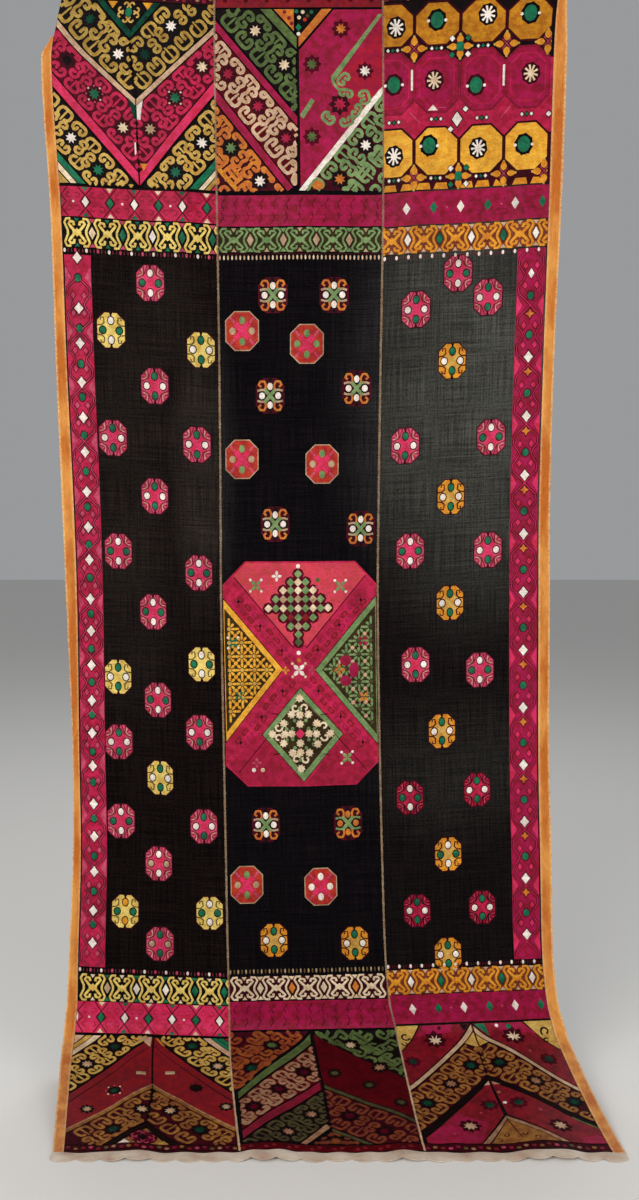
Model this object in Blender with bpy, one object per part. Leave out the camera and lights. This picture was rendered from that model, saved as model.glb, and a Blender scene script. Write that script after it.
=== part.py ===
"""A long embroidered phulkari shawl, hung over a plain round rod.

Three woven strips are sewn edge to edge, with a folded binding down each side and a
scalloped edging across the lower end. The cloth goes over the rod with a short flap
behind it, hangs straight, bends just above the floor and comes forward, where its
lower end lies. Metres, +Z up. The origin is the middle of the rod's axis, the shawl's
face looks along -Y, and +X is to the right of someone who looks at that face.
"""

from bisect import bisect_right
from math import cos, pi, sin

import bmesh
import bpy

# Rod
ROD_RADIUS = 0.011
ROD_LENGTH = 1.10
ROD_SIDES = 48
ROD_END_ROUNDING = 0.002

# Cloth walls
CLOTH_WALL = 0.0014
BINDING_WALL = 0.0022
EDGING_WALL = 0.0010
SILK_RELIEF = 0.0006  # how far the dense silk stands above the plain cotton
RELIEF_RAMP = 0.003
SEAM_GAP = 0.0003
ROD_GAP = 0.0004

# The way down the cloth. "Down" is the length along its face from the rod's level.
COLLAR_RADIUS = ROD_RADIUS + ROD_GAP + CLOTH_WALL
OVER_ROD = pi * COLLAR_RADIUS
FLAP_LENGTH = 0.062
BEND_START = 1.974
BEND_END = 2.040
CLOTH_END = 2.381
BEND_LEAN = 73 * pi / 180  # angle from plumb just past the bend
END_LEAN = 85 * pi / 180
PATH_STEP = 0.001

# Embroidered blocks, by their places down the cloth
TOP_BLOCK_END = 0.497
LOWER_BLOCK_START = 1.872
SIDE_BORDER_WIDTH = 0.052
MEDALLION_TOP = 1.073
MEDALLION_FOOT = 1.515
MEDALLION_CORNER = 0.045
MEDALLION_MARGIN = 0.004

# Scalloped edging
EDGING_DEPTH = 0.026
SCALLOP_DEPTH = 0.011
SCALLOP_PITCH = 0.043
SCALLOP_POINTS = 6
EDGING_ROWS = 2

# Where each long line of the cloth lies across, at places down it, with the
# width of the two bindings there. Lines between rows follow a smooth curve.
OUTLINE_COLUMNS = (
    "down", "left", "left_seam", "right_seam", "right", "left_band", "right_band",
)
OUTLINE_ROWS = (
    (-0.110, -0.472, -0.169, 0.148, 0.490, 0.018, 0.016),
    (0.000, -0.472, -0.169, 0.148, 0.494, 0.018, 0.016),
    (0.050, -0.482, -0.169, 0.149, 0.495, 0.018, 0.021),
    (0.125, -0.496, -0.169, 0.149, 0.496, 0.019, 0.025),
    (0.400, -0.483, -0.166, 0.150, 0.489, 0.020, 0.024),
    (0.700, -0.476, -0.163, 0.146, 0.478, 0.021, 0.021),
    (0.970, -0.468, -0.162, 0.143, 0.474, 0.023, 0.022),
    (1.160, -0.463, -0.162, 0.142, 0.476, 0.022, 0.023),
    (1.450, -0.455, -0.158, 0.147, 0.478, 0.014, 0.022),
    (1.650, -0.456, -0.155, 0.152, 0.485, 0.016, 0.023),
    (1.850, -0.466, -0.152, 0.159, 0.491, 0.018, 0.022),
    (1.950, -0.472, -0.150, 0.168, 0.502, 0.021, 0.022),
    (2.010, -0.477, -0.149, 0.181, 0.518, 0.022, 0.024),
    (2.120, -0.468, -0.140, 0.192, 0.532, 0.021, 0.023),
    (2.381, -0.437, -0.110, 0.213, 0.563, 0.020, 0.022),
)

# Soft upright folds in the hanging part: place across, half width, how far forward
# (minus is back), where each starts and ends, and how far it drifts to the right.
FOLD_COLUMNS = ("across", "half_width", "forward", "start", "end", "drift")
FOLD_ROWS = (
    (-0.430, 0.050, 0.0060, 0.16, 1.98, 0.030),
    (-0.335, 0.055, -0.0050, 0.30, 1.80, 0.020),
    (-0.235, 0.060, 0.0070, 0.12, 1.92, 0.016),
    (-0.120, 0.065, -0.0045, 0.42, 1.72, 0.012),
    (-0.010, 0.070, 0.0055, 0.20, 1.96, 0.018),
    (0.110, 0.050, -0.0060, 0.24, 1.84, 0.014),
    (0.215, 0.065, 0.0080, 0.10, 1.94, 0.022),
    (0.330, 0.055, -0.0050, 0.34, 1.76, 0.020),
    (0.425, 0.050, 0.0065, 0.18, 1.97, 0.024),
)
FOLD_FADE = 0.26  # a fold grows and dies away over this length

# Ridges where the stiff lower end lies forward, which run out past its edging
RIDGE_ROWS = (
    (-0.330, 0.060, 0.0050, 1.97, 2.52, 0.040),
    (-0.090, 0.080, 0.0065, 1.98, 2.50, 0.042),
    (0.150, 0.060, 0.0045, 1.99, 2.53, 0.040),
    (0.395, 0.085, 0.0075, 1.96, 2.51, 0.046),
)
RIDGE_FADE = 0.10

# The rolled stretch of the left edge
ROLL_TOP = 0.98
ROLL_FOOT = 1.66
ROLL_WIDTH = 0.045
ROLL_BACK = 0.007

# The left binding starts below the turned-back corner, narrow and then full
LEFT_BINDING_TOP = 0.085
LEFT_BINDING_TAPER = 0.035
LEFT_BINDING_START = 0.3  # share of its width at its top

# Stations down the cloth and columns across each strip
FLAP_STATIONS = 2
ROD_STATIONS = 9
UPPER_STATIONS = (0.045, 0.125, 0.210, 0.300, 0.390)
FIELD_STEP = 0.085
BEND_STATIONS = 6
END_STATIONS = 7
SIDE_STRIP_SPANS = 7
CENTRE_STRIP_SPANS = 10
BINDING_SPANS = 2


def smooth(value):
    """An even ramp from 0 to 1."""
    value = min(max(value, 0.0), 1.0)
    return value * value * (3.0 - 2.0 * value)


def lean(down):
    """The cloth's angle from plumb, pi where it hangs behind the rod."""
    if down < 0.0:
        return min(-down / COLLAR_RADIUS, pi)
    if down < BEND_END:
        return BEND_LEAN * smooth((down - BEND_START) / (BEND_END - BEND_START))
    share = min((down - BEND_END) / (CLOTH_END - BEND_END), 1.0)
    return BEND_LEAN + (END_LEAN - BEND_LEAN) * share


def walk_path():
    """Places (y, z) of the cloth's face at every step down from the rod's level."""
    points = [(-COLLAR_RADIUS, 0.0)]
    for step in range(int((CLOTH_END + 0.1) / PATH_STEP)):
        angle = lean((step + 0.5) * PATH_STEP)
        y, z = points[-1]
        points.append((y - sin(angle) * PATH_STEP, z - cos(angle) * PATH_STEP))
    return points


PATH = walk_path()


def path_point(down):
    """Place (y, z) of the cloth's face, folds left out."""
    if down < -OVER_ROD:
        return COLLAR_RADIUS, down + OVER_ROD
    if down < 0.0:
        turn = -down / COLLAR_RADIUS
        return -COLLAR_RADIUS * cos(turn), COLLAR_RADIUS * sin(turn)
    at = down / PATH_STEP
    index = int(at)
    part = at - index
    (y0, z0), (y1, z1) = PATH[index], PATH[index + 1]
    return y0 + (y1 - y0) * part, z0 + (z1 - z0) * part


FLOOR = path_point(CLOTH_END)[1] - CLOTH_WALL


def line_at(name, down):
    """Place across of a long line, on a smooth curve through its table rows."""
    column = OUTLINE_COLUMNS.index(name)
    downs = [row[0] for row in OUTLINE_ROWS]
    down = min(max(down, downs[0]), downs[-1])
    last = len(OUTLINE_ROWS) - 1
    index = min(bisect_right(downs, down) - 1, last - 1)

    def slope(row):
        low, high = OUTLINE_ROWS[max(row - 1, 0)], OUTLINE_ROWS[min(row + 1, last)]
        return (high[column] - low[column]) / (high[0] - low[0])

    start, stop = OUTLINE_ROWS[index], OUTLINE_ROWS[index + 1]
    length = stop[0] - start[0]
    t = (down - start[0]) / length
    return (
        start[column] * (1 + 2 * t) * (1 - t) ** 2
        + slope(index) * length * t * (1 - t) ** 2
        + stop[column] * t * t * (3 - 2 * t)
        + slope(index + 1) * length * t * t * (t - 1)
    )


def fold_height(rows, fade, across, down):
    """How far the folds of one table push the cloth forward."""
    height = 0.0
    for row in rows:
        fold = dict(zip(FOLD_COLUMNS, row))
        progress = (down - fold["start"]) / (fold["end"] - fold["start"])
        if not 0.0 < progress < 1.0:
            continue
        middle = fold["across"] + fold["drift"] * progress
        reach = abs(across - middle) / fold["half_width"]
        if reach < 1.0:
            ends = smooth((down - fold["start"]) / fade) * smooth((fold["end"] - down) / fade)
            height += fold["forward"] * ends * (0.5 + 0.5 * cos(pi * reach))
    return height


def edge_roll(across, down):
    """The left edge's roll to the back, along its curled stretch."""
    reach = 1.0 - (across - line_at("left", down)) / ROLL_WIDTH
    if reach <= 0.0 or not ROLL_TOP < down < ROLL_FOOT:
        return 0.0
    along = sin(pi * (down - ROLL_TOP) / (ROLL_FOOT - ROLL_TOP))
    return ROLL_BACK * along * reach * reach


def cloth_point(across, down, out=0.0):
    """A point of the draped cloth, `out` in front of its plain face."""
    angle = lean(down)
    y, z = path_point(down)
    push = (
        fold_height(FOLD_ROWS, FOLD_FADE, across, down)
        + fold_height(RIDGE_ROWS, RIDGE_FADE, across, down)
        - edge_roll(across, down)
        + out
    )
    return across, y - cos(angle) * push, z + sin(angle) * push


def stations():
    """Places down the cloth at which its sections are cut, close together at block edges."""
    flap_top = -OVER_ROD
    places = [flap_top - FLAP_LENGTH * i / FLAP_STATIONS for i in range(FLAP_STATIONS, 0, -1)]
    places += [flap_top * (1 - i / ROD_STATIONS) for i in range(ROD_STATIONS)]
    places += [0.0, *UPPER_STATIONS]
    stops = (TOP_BLOCK_END, MEDALLION_TOP, MEDALLION_FOOT, LOWER_BLOCK_START)
    for upper, lower in zip(stops, stops[1:]):
        count = round((lower - upper) / FIELD_STEP)
        places += [upper + (lower - upper) * i / count for i in range(count)]
    places += [stops[-1]]
    places += [stop + RELIEF_RAMP for stop in (TOP_BLOCK_END, MEDALLION_FOOT)]
    places += [stop - RELIEF_RAMP for stop in (MEDALLION_TOP, LOWER_BLOCK_START)]
    places += [MEDALLION_TOP + MEDALLION_CORNER, MEDALLION_FOOT - MEDALLION_CORNER]
    bend = BEND_END - BEND_START
    places += [BEND_START + bend * i / BEND_STATIONS for i in range(BEND_STATIONS)]
    rest = CLOTH_END - BEND_END
    places += [BEND_END + rest * i / END_STATIONS for i in range(END_STATIONS + 1)]
    return sorted(places)


def in_end_block(down):
    return down <= TOP_BLOCK_END or down >= LOWER_BLOCK_START


def in_medallion(across, down):
    """Whether a point of the centre strip lies on its eight-sided medallion."""
    if not MEDALLION_TOP <= down <= MEDALLION_FOOT:
        return False
    side = min(
        across - line_at("left_seam", down) - MEDALLION_MARGIN,
        line_at("right_seam", down) - MEDALLION_MARGIN - across,
    )
    end = min(down - MEDALLION_TOP, MEDALLION_FOOT - down)
    return side >= 0.0 and side + end >= MEDALLION_CORNER


def material(name, colour, roughness):
    made = bpy.data.materials.new(name)
    made.use_nodes = True
    shader = made.node_tree.nodes["Principled BSDF"]
    shader.inputs["Base Color"].default_value = (*colour, 1.0)
    shader.inputs["Roughness"].default_value = roughness
    shader.inputs["Metallic"].default_value = 0.0
    made.diffuse_color = (*colour, 1.0)
    return made


def wall_object(name, front, back, made):
    """A closed wall between two grids of points, a row for each station."""
    mesh = bpy.data.meshes.new(name)
    build = bmesh.new()
    grids = [[[build.verts.new(p) for p in row] for row in grid] for grid in (front, back)]
    rows, columns = len(front), len(front[0])
    for grid in grids:
        for i in range(rows - 1):
            for j in range(columns - 1):
                build.faces.new((grid[i][j], grid[i][j + 1], grid[i + 1][j + 1], grid[i + 1][j]))
    rim = [(0, j) for j in range(columns - 1)]
    rim += [(i, columns - 1) for i in range(rows - 1)]
    rim += [(rows - 1, j) for j in range(columns - 1, 0, -1)]
    rim += [(i, 0) for i in range(rows - 1, 0, -1)]
    for (i0, j0), (i1, j1) in zip(rim, rim[1:] + rim[:1]):
        build.faces.new((grids[0][i0][j0], grids[0][i1][j1], grids[1][i1][j1], grids[1][i0][j0]))
    bmesh.ops.recalc_face_normals(build, faces=build.faces)
    build.to_mesh(mesh)
    build.free()
    mesh.shade_smooth()
    mesh.set_sharp_from_angle(angle=pi / 4)
    made_object = bpy.data.objects.new(name, mesh)
    bpy.context.scene.collection.objects.link(made_object)
    mesh.materials.append(made)
    return made_object


def strip(name, made, columns_at, raised):
    """One woven strip: columns_at(down) gives its columns, raised(across, down) its silk."""
    front, back = [], []
    for down in stations():
        columns = columns_at(down)
        front.append([
            cloth_point(x, down, SILK_RELIEF if raised(x, down) else 0.0) for x in columns
        ])
        back.append([cloth_point(x, down, -CLOTH_WALL) for x in columns])
    return wall_object(name, front, back, made)


def spread(first, last, spans):
    return [first + (last - first) * i / spans for i in range(spans + 1)]


def left_columns(down):
    edge = line_at("left", down) + line_at("left_band", down) + SEAM_GAP
    border = edge + SIDE_BORDER_WIDTH
    seam = line_at("left_seam", down) - SEAM_GAP / 2
    return [edge, border, *spread(border + RELIEF_RAMP, seam, SIDE_STRIP_SPANS)]


def centre_columns(down):
    return spread(
        line_at("left_seam", down) + SEAM_GAP / 2,
        line_at("right_seam", down) - SEAM_GAP / 2,
        CENTRE_STRIP_SPANS,
    )


def right_columns(down):
    seam = line_at("right_seam", down) + SEAM_GAP / 2
    edge = line_at("right", down) - line_at("right_band", down) - SEAM_GAP
    border = edge - SIDE_BORDER_WIDTH
    return [*spread(seam, border - RELIEF_RAMP, SIDE_STRIP_SPANS), border, edge]


def left_raised(across, down):
    columns = left_columns(down)
    return in_end_block(down) or across <= columns[1]


def centre_raised(across, down):
    return in_end_block(down) or in_medallion(across, down)


def right_raised(across, down):
    columns = right_columns(down)
    return in_end_block(down) or across >= columns[-2]


def binding(name, made, inner, outer, first_station):
    """A folded strip along one side, its two layers standing round the cloth's edge."""
    proud = (BINDING_WALL - CLOTH_WALL) / 2
    front, back = [], []
    for down in stations():
        if down < first_station:
            continue
        columns = spread(inner(down), outer(down), BINDING_SPANS)
        low, high = -CLOTH_WALL - proud, proud
        # The path turns round the rod, so the binding's back stays clear of it there.
        if down < UPPER_STATIONS[0]:
            low, high = -CLOTH_WALL, BINDING_WALL - CLOTH_WALL
        # The lower end lies on the floor, so the strip stands above it there.
        lift = proud * smooth((down - BEND_END) / (CLOTH_END - BEND_END))
        front.append([cloth_point(x, down, high + lift) for x in columns])
        back.append([cloth_point(x, down, low + lift) for x in columns])
    return wall_object(name, front, back, made)


def left_binding_outer(down):
    """The left binding's outer edge, which slants out below the turned-back corner."""
    share = smooth((down - LEFT_BINDING_TOP) / LEFT_BINDING_TAPER)
    missing = (1.0 - LEFT_BINDING_START) * (1.0 - share)
    return line_at("left", down) + line_at("left_band", down) * missing


def edging(name, made):
    """The scalloped strip beyond the cloth's end, on the floor but for the ridges."""
    start = line_at("left", CLOTH_END)
    width = line_at("right", CLOTH_END) - start
    count = round(width / SCALLOP_PITCH)
    y0 = path_point(CLOTH_END)[0] - SEAM_GAP
    front, back = [], []
    for row in range(EDGING_ROWS + 1):
        line = []
        for i in range(count * SCALLOP_POINTS + 1):
            lobe = (i % SCALLOP_POINTS) / SCALLOP_POINTS
            depth = (EDGING_DEPTH + SCALLOP_DEPTH * sin(pi * lobe)) * row / EDGING_ROWS
            x = start + width * i / (count * SCALLOP_POINTS)
            hem_rise = fold_height(RIDGE_ROWS, RIDGE_FADE, x, CLOTH_END)
            rise = fold_height(RIDGE_ROWS, RIDGE_FADE, x, CLOTH_END + depth)
            hem = y0 - cos(END_LEAN) * (hem_rise + BINDING_WALL)
            line.append((x, hem - depth, FLOOR + rise))
        front.append([(x, y, z + EDGING_WALL) for x, y, z in line])
        back.append(line)
    return wall_object(name, front, back, made)


def rod(name, made):
    build = bmesh.new()
    bmesh.ops.create_cone(
        build, cap_ends=True, segments=ROD_SIDES,
        radius1=ROD_RADIUS, radius2=ROD_RADIUS, depth=ROD_LENGTH,
    )
    rims = [edge for edge in build.edges if abs(edge.verts[0].co.z - edge.verts[1].co.z) < 1e-6]
    bmesh.ops.bevel(
        build, geom=rims, offset=ROD_END_ROUNDING, segments=2, profile=0.5, affect="EDGES",
    )
    mesh = bpy.data.meshes.new(name)
    build.to_mesh(mesh)
    build.free()
    mesh.shade_smooth()
    mesh.set_sharp_from_angle(angle=pi / 5)
    made_object = bpy.data.objects.new(name, mesh)
    made_object.rotation_euler = (0.0, pi / 2, 0.0)
    bpy.context.scene.collection.objects.link(made_object)
    mesh.materials.append(made)
    return made_object


def main():
    for old in list(bpy.data.objects):
        bpy.data.objects.remove(old)
    rod("rod", material("pale_wood", (0.45, 0.28, 0.14), 0.5))
    strip("left_panel", material("black_cotton_left", (0.020, 0.014, 0.014), 0.85),
          left_columns, left_raised)
    strip("centre_panel", material("black_cotton_centre", (0.012, 0.010, 0.012), 0.85),
          centre_columns, centre_raised)
    strip("right_panel", material("black_cotton_right", (0.025, 0.026, 0.025), 0.85),
          right_columns, right_raised)
    binding("left_binding", material("orange_cotton_left", (0.75, 0.30, 0.06), 0.75),
            lambda d: line_at("left", d) + line_at("left_band", d),
            left_binding_outer, LEFT_BINDING_TOP)
    binding("right_binding", material("orange_cotton_right", (0.75, 0.30, 0.06), 0.75),
            lambda d: line_at("right", d) - line_at("right_band", d),
            lambda d: line_at("right", d), -OVER_ROD - FLAP_LENGTH)
    edging("end_edging", material("white_cotton", (0.75, 0.72, 0.66), 0.8))


main()
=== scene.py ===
"""Looks for the phulkari shawl on its rod: cloth, silk needlework, bindings, edging, light and camera.

The surface formulas repeat those of the solids, so each piece lies where its solid is.
Lengths are metres. Needlework is charted in millimetres on each strip laid flat: across
from the strip's left edge, and down from the rod's level.
"""

import random
from bisect import bisect_left, bisect_right
from math import atan2, ceil, cos, hypot, pi, radians, sin

import bpy
import numpy as np
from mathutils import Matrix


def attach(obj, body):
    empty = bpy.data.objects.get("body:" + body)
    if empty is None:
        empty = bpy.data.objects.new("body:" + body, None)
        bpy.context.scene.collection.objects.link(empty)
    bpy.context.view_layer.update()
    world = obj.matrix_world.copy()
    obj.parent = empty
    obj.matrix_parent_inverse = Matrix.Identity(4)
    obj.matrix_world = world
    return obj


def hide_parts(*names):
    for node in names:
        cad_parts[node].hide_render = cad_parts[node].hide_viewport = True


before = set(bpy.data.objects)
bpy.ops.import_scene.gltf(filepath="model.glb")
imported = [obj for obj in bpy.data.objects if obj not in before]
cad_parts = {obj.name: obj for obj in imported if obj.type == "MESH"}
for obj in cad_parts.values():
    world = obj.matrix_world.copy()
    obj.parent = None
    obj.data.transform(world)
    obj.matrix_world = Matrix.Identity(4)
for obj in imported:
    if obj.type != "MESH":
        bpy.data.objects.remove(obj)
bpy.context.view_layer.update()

MM = 0.001

# ---------------------------------------------------------------- the draped cloth

ROD_RADIUS = 0.011
CLOTH_WALL = 0.0014
BINDING_WALL = 0.0022
EDGING_WALL = 0.0010
SEAM_GAP = 0.0003
ROD_GAP = 0.0004
COLLAR_RADIUS = ROD_RADIUS + ROD_GAP + CLOTH_WALL
OVER_ROD = pi * COLLAR_RADIUS
FLAP_LENGTH = 0.062
TOP_END = -OVER_ROD - FLAP_LENGTH
BEND_START = 1.974
BEND_END = 2.040
CLOTH_END = 2.381
BEND_LEAN = radians(73)
END_LEAN = radians(85)
PATH_STEP = 0.001

OUTLINE_COLUMNS = (
    "down", "left", "left_seam", "right_seam", "right", "left_band", "right_band",
)
OUTLINE_ROWS = np.array((
    (-0.110, -0.472, -0.169, 0.148, 0.490, 0.018, 0.016),
    (0.000, -0.472, -0.169, 0.148, 0.494, 0.018, 0.016),
    (0.050, -0.482, -0.169, 0.149, 0.495, 0.018, 0.021),
    (0.125, -0.496, -0.169, 0.149, 0.496, 0.019, 0.025),
    (0.400, -0.483, -0.166, 0.150, 0.489, 0.020, 0.024),
    (0.700, -0.476, -0.163, 0.146, 0.478, 0.021, 0.021),
    (0.970, -0.468, -0.162, 0.143, 0.474, 0.023, 0.022),
    (1.160, -0.463, -0.162, 0.142, 0.476, 0.022, 0.023),
    (1.450, -0.455, -0.158, 0.147, 0.478, 0.014, 0.022),
    (1.650, -0.456, -0.155, 0.152, 0.485, 0.016, 0.023),
    (1.850, -0.466, -0.152, 0.159, 0.491, 0.018, 0.022),
    (1.950, -0.472, -0.150, 0.168, 0.502, 0.021, 0.022),
    (2.010, -0.477, -0.149, 0.181, 0.518, 0.022, 0.024),
    (2.120, -0.468, -0.140, 0.192, 0.532, 0.021, 0.023),
    (2.381, -0.437, -0.110, 0.213, 0.563, 0.020, 0.022),
))

# place across, half width, how far forward, start, end, drift to the right
FOLD_ROWS = (
    (-0.430, 0.050, 0.0060, 0.16, 1.98, 0.030),
    (-0.335, 0.055, -0.0050, 0.30, 1.80, 0.020),
    (-0.235, 0.060, 0.0070, 0.12, 1.92, 0.016),
    (-0.120, 0.065, -0.0045, 0.42, 1.72, 0.012),
    (-0.010, 0.070, 0.0055, 0.20, 1.96, 0.018),
    (0.110, 0.050, -0.0060, 0.24, 1.84, 0.014),
    (0.215, 0.065, 0.0080, 0.10, 1.94, 0.022),
    (0.330, 0.055, -0.0050, 0.34, 1.76, 0.020),
    (0.425, 0.050, 0.0065, 0.18, 1.97, 0.024),
)
FOLD_FADE = 0.26
RIDGE_ROWS = (
    (-0.330, 0.060, 0.0050, 1.97, 2.52, 0.040),
    (-0.090, 0.080, 0.0065, 1.98, 2.50, 0.042),
    (0.150, 0.060, 0.0045, 1.99, 2.53, 0.040),
    (0.395, 0.085, 0.0075, 1.96, 2.51, 0.046),
)
RIDGE_FADE = 0.10
# Finer creases, which the solids leave out
CREASE_ROWS = (
    (-0.452, 0.020, 0.0011, 0.22, 0.66, 0.018),
    (-0.395, 0.018, -0.0009, 0.78, 1.34, -0.022),
    (-0.372, 0.024, 0.0014, 1.38, 1.90, 0.034),
    (-0.300, 0.019, 0.0010, 0.50, 1.02, 0.028),
    (-0.268, 0.022, -0.0012, 1.12, 1.58, -0.018),
    (-0.205, 0.018, 0.0009, 0.16, 0.52, -0.024),
    (-0.165, 0.020, 0.0012, 1.50, 1.94, 0.020),
    (-0.085, 0.022, 0.0013, 0.58, 1.06, 0.012),
    (-0.028, 0.018, -0.0010, 0.30, 0.74, 0.030),
    (0.052, 0.019, 0.0015, 0.86, 1.10, 0.006),
    (0.066, 0.024, 0.0011, 1.54, 1.93, -0.026),
    (0.128, 0.020, 0.0016, 0.50, 0.92, -0.014),
    (0.178, 0.018, -0.0010, 1.14, 1.62, 0.024),
    (0.262, 0.024, 0.0012, 0.44, 1.20, -0.020),
    (0.300, 0.019, 0.0010, 1.42, 1.90, 0.032),
    (0.372, 0.020, -0.0012, 0.70, 1.36, 0.020),
    (0.452, 0.022, 0.0012, 1.06, 1.74, 0.016),
    (-0.250, 0.022, 0.0014, 2.06, 2.50, 0.050),
    (0.040, 0.024, -0.0010, 2.05, 2.50, 0.038),
    (0.290, 0.022, 0.0013, 2.04, 2.50, -0.034),
)
CREASE_FADE = 0.13
# Soft lines across, where the shawl lay folded: down, half width, forward, drift at the right
CROSS_ROWS = (
    (0.555, 0.024, 0.0010, 0.012),
    (1.180, 0.030, -0.0012, -0.016),
    (1.735, 0.026, 0.0011, 0.020),
)

ROLL_TOP = 0.98
ROLL_FOOT = 1.66
ROLL_WIDTH = 0.045
ROLL_BACK = 0.007


def smooth(value):
    value = np.clip(value, 0.0, 1.0)
    return value * value * (3.0 - 2.0 * value)


def lean(down):
    """The cloth's angle from plumb, pi where it hangs behind the rod."""
    down = np.asarray(down, float)
    bend = BEND_LEAN * smooth((down - BEND_START) / (BEND_END - BEND_START))
    share = np.clip((down - BEND_END) / (CLOTH_END - BEND_END), 0.0, 1.0)
    lying = BEND_LEAN + (END_LEAN - BEND_LEAN) * share
    over = np.clip(-down / COLLAR_RADIUS, 0.0, pi)
    return np.where(down < 0.0, over, np.where(down < BEND_END, bend, lying))


PATH_DOWN = np.arange(0.0, CLOTH_END + 0.1, PATH_STEP)
PATH_LEAN = lean(PATH_DOWN[:-1] + PATH_STEP / 2)
PATH_Y = np.concatenate(([0.0], -np.cumsum(np.sin(PATH_LEAN)) * PATH_STEP)) - COLLAR_RADIUS
PATH_Z = np.concatenate(([0.0], -np.cumsum(np.cos(PATH_LEAN)) * PATH_STEP))


def path_point(down):
    """Place (y, z) of the cloth's face, folds left out."""
    down = np.asarray(down, float)
    turn = np.clip(-down / COLLAR_RADIUS, 0.0, pi)
    y = np.where(down < 0.0, -COLLAR_RADIUS * np.cos(turn), np.interp(down, PATH_DOWN, PATH_Y))
    z = np.where(down < 0.0, COLLAR_RADIUS * np.sin(turn), np.interp(down, PATH_DOWN, PATH_Z))
    return y, z + np.minimum(down + OVER_ROD, 0.0)


FLOOR = float(path_point(CLOTH_END)[1]) - CLOTH_WALL


def line_at(name, down):
    """Place across of a long line, on a smooth curve through its table rows."""
    places, values = OUTLINE_ROWS[:, 0], OUTLINE_ROWS[:, OUTLINE_COLUMNS.index(name)]
    down = np.clip(down, places[0], places[-1])
    last = len(places) - 1
    index = np.clip(np.searchsorted(places, down, side="right") - 1, 0, last - 1)
    lower = np.maximum(np.arange(last + 1) - 1, 0)
    upper = np.minimum(np.arange(last + 1) + 1, last)
    slopes = (values[upper] - values[lower]) / (places[upper] - places[lower])
    length = places[index + 1] - places[index]
    t = (down - places[index]) / length
    return (
        values[index] * (1 + 2 * t) * (1 - t) ** 2
        + slopes[index] * length * t * (1 - t) ** 2
        + values[index + 1] * t * t * (3 - 2 * t)
        + slopes[index + 1] * length * t * t * (t - 1)
    )


def bump(distance, half_width):
    """One at the middle of a fold, falling softly to nothing at its half width."""
    return 0.5 + 0.5 * np.cos(pi * np.clip(np.abs(distance) / half_width, 0.0, 1.0))


def fold_height(rows, fade, across, down):
    """How far the folds of one table push the cloth forward."""
    height = 0.0
    for middle, half_width, forward, start, end, drift in rows:
        progress = (down - start) / (end - start)
        ends = smooth((down - start) / fade) * smooth((end - down) / fade)
        height = height + forward * ends * bump(across - middle - drift * progress, half_width)
    return height


def cross_height(across, down):
    """How far the old folding lines push the cloth forward."""
    return sum(forward * bump(down - middle - drift * across, half_width)
               for middle, half_width, forward, drift in CROSS_ROWS)


def edge_roll(across, down):
    """The left edge's roll to the back, along its curled stretch."""
    reach = np.clip(1.0 - (across - line_at("left", down)) / ROLL_WIDTH, 0.0, None)
    along = np.sin(pi * np.clip((down - ROLL_TOP) / (ROLL_FOOT - ROLL_TOP), 0.0, 1.0))
    return ROLL_BACK * along * reach * reach


def cloth_points(across, down, out=0.0):
    """Points of the draped cloth, `out` in front of its plain face, one row each."""
    across, down, out = np.broadcast_arrays(*(np.asarray(a, float) for a in (across, down, out)))
    push = cross_height(across, down) - edge_roll(across, down) + out
    for rows, fade in ((FOLD_ROWS, FOLD_FADE), (RIDGE_ROWS, RIDGE_FADE), (CREASE_ROWS, CREASE_FADE)):
        push = push + fold_height(rows, fade, across, down)
    angle = lean(down)
    y, z = path_point(down)
    return np.stack((across, y - np.cos(angle) * push, z + np.sin(angle) * push), axis=-1)


# ---------------------------------------------------------------- strips laid flat

CELL = 0.0066
FINE_ROW = 0.0026
BEND_ROW = 0.0042
# How far down each zone of rows ends, and the longest row in it
ROW_ZONES = ((-0.062, 0.008), (0.020, FINE_ROW), (1.945, CELL), (2.060, BEND_ROW), (CLOTH_END, CELL))
STRIP_WIDTHS = {"left": 0.300, "centre": 0.315, "right": 0.320}
# How far the weave runs lower than a level line, at the four long lines of the shawl
SAG_PLACES = (TOP_END, 0.0, 0.5, 1.85, 2.0, 2.2)
SAG_LEFT_SEAM = (0.0, 0.015, 0.015, 0.013, 0.010, 0.0)
SAG_RIGHT_SEAM = (0.0, 0.0135, 0.0135, 0.005, 0.004, 0.0)
SAG_RIGHT_EDGE = (0.0, -0.005, -0.005, -0.008, -0.008, 0.0)
SAG_LEFT_EDGE = (0.0,) * len(SAG_PLACES)


def row_lines():
    """Places down the cloth of its rows, closer over the rod and at the bend."""
    rows = [TOP_END]
    for stop, step in ROW_ZONES:
        count = ceil((stop - rows[-1]) / step)
        start = rows[-1]
        rows += [start + (stop - start) * (i + 1) / count for i in range(count)]
    return rows


ROWS = row_lines()


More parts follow.
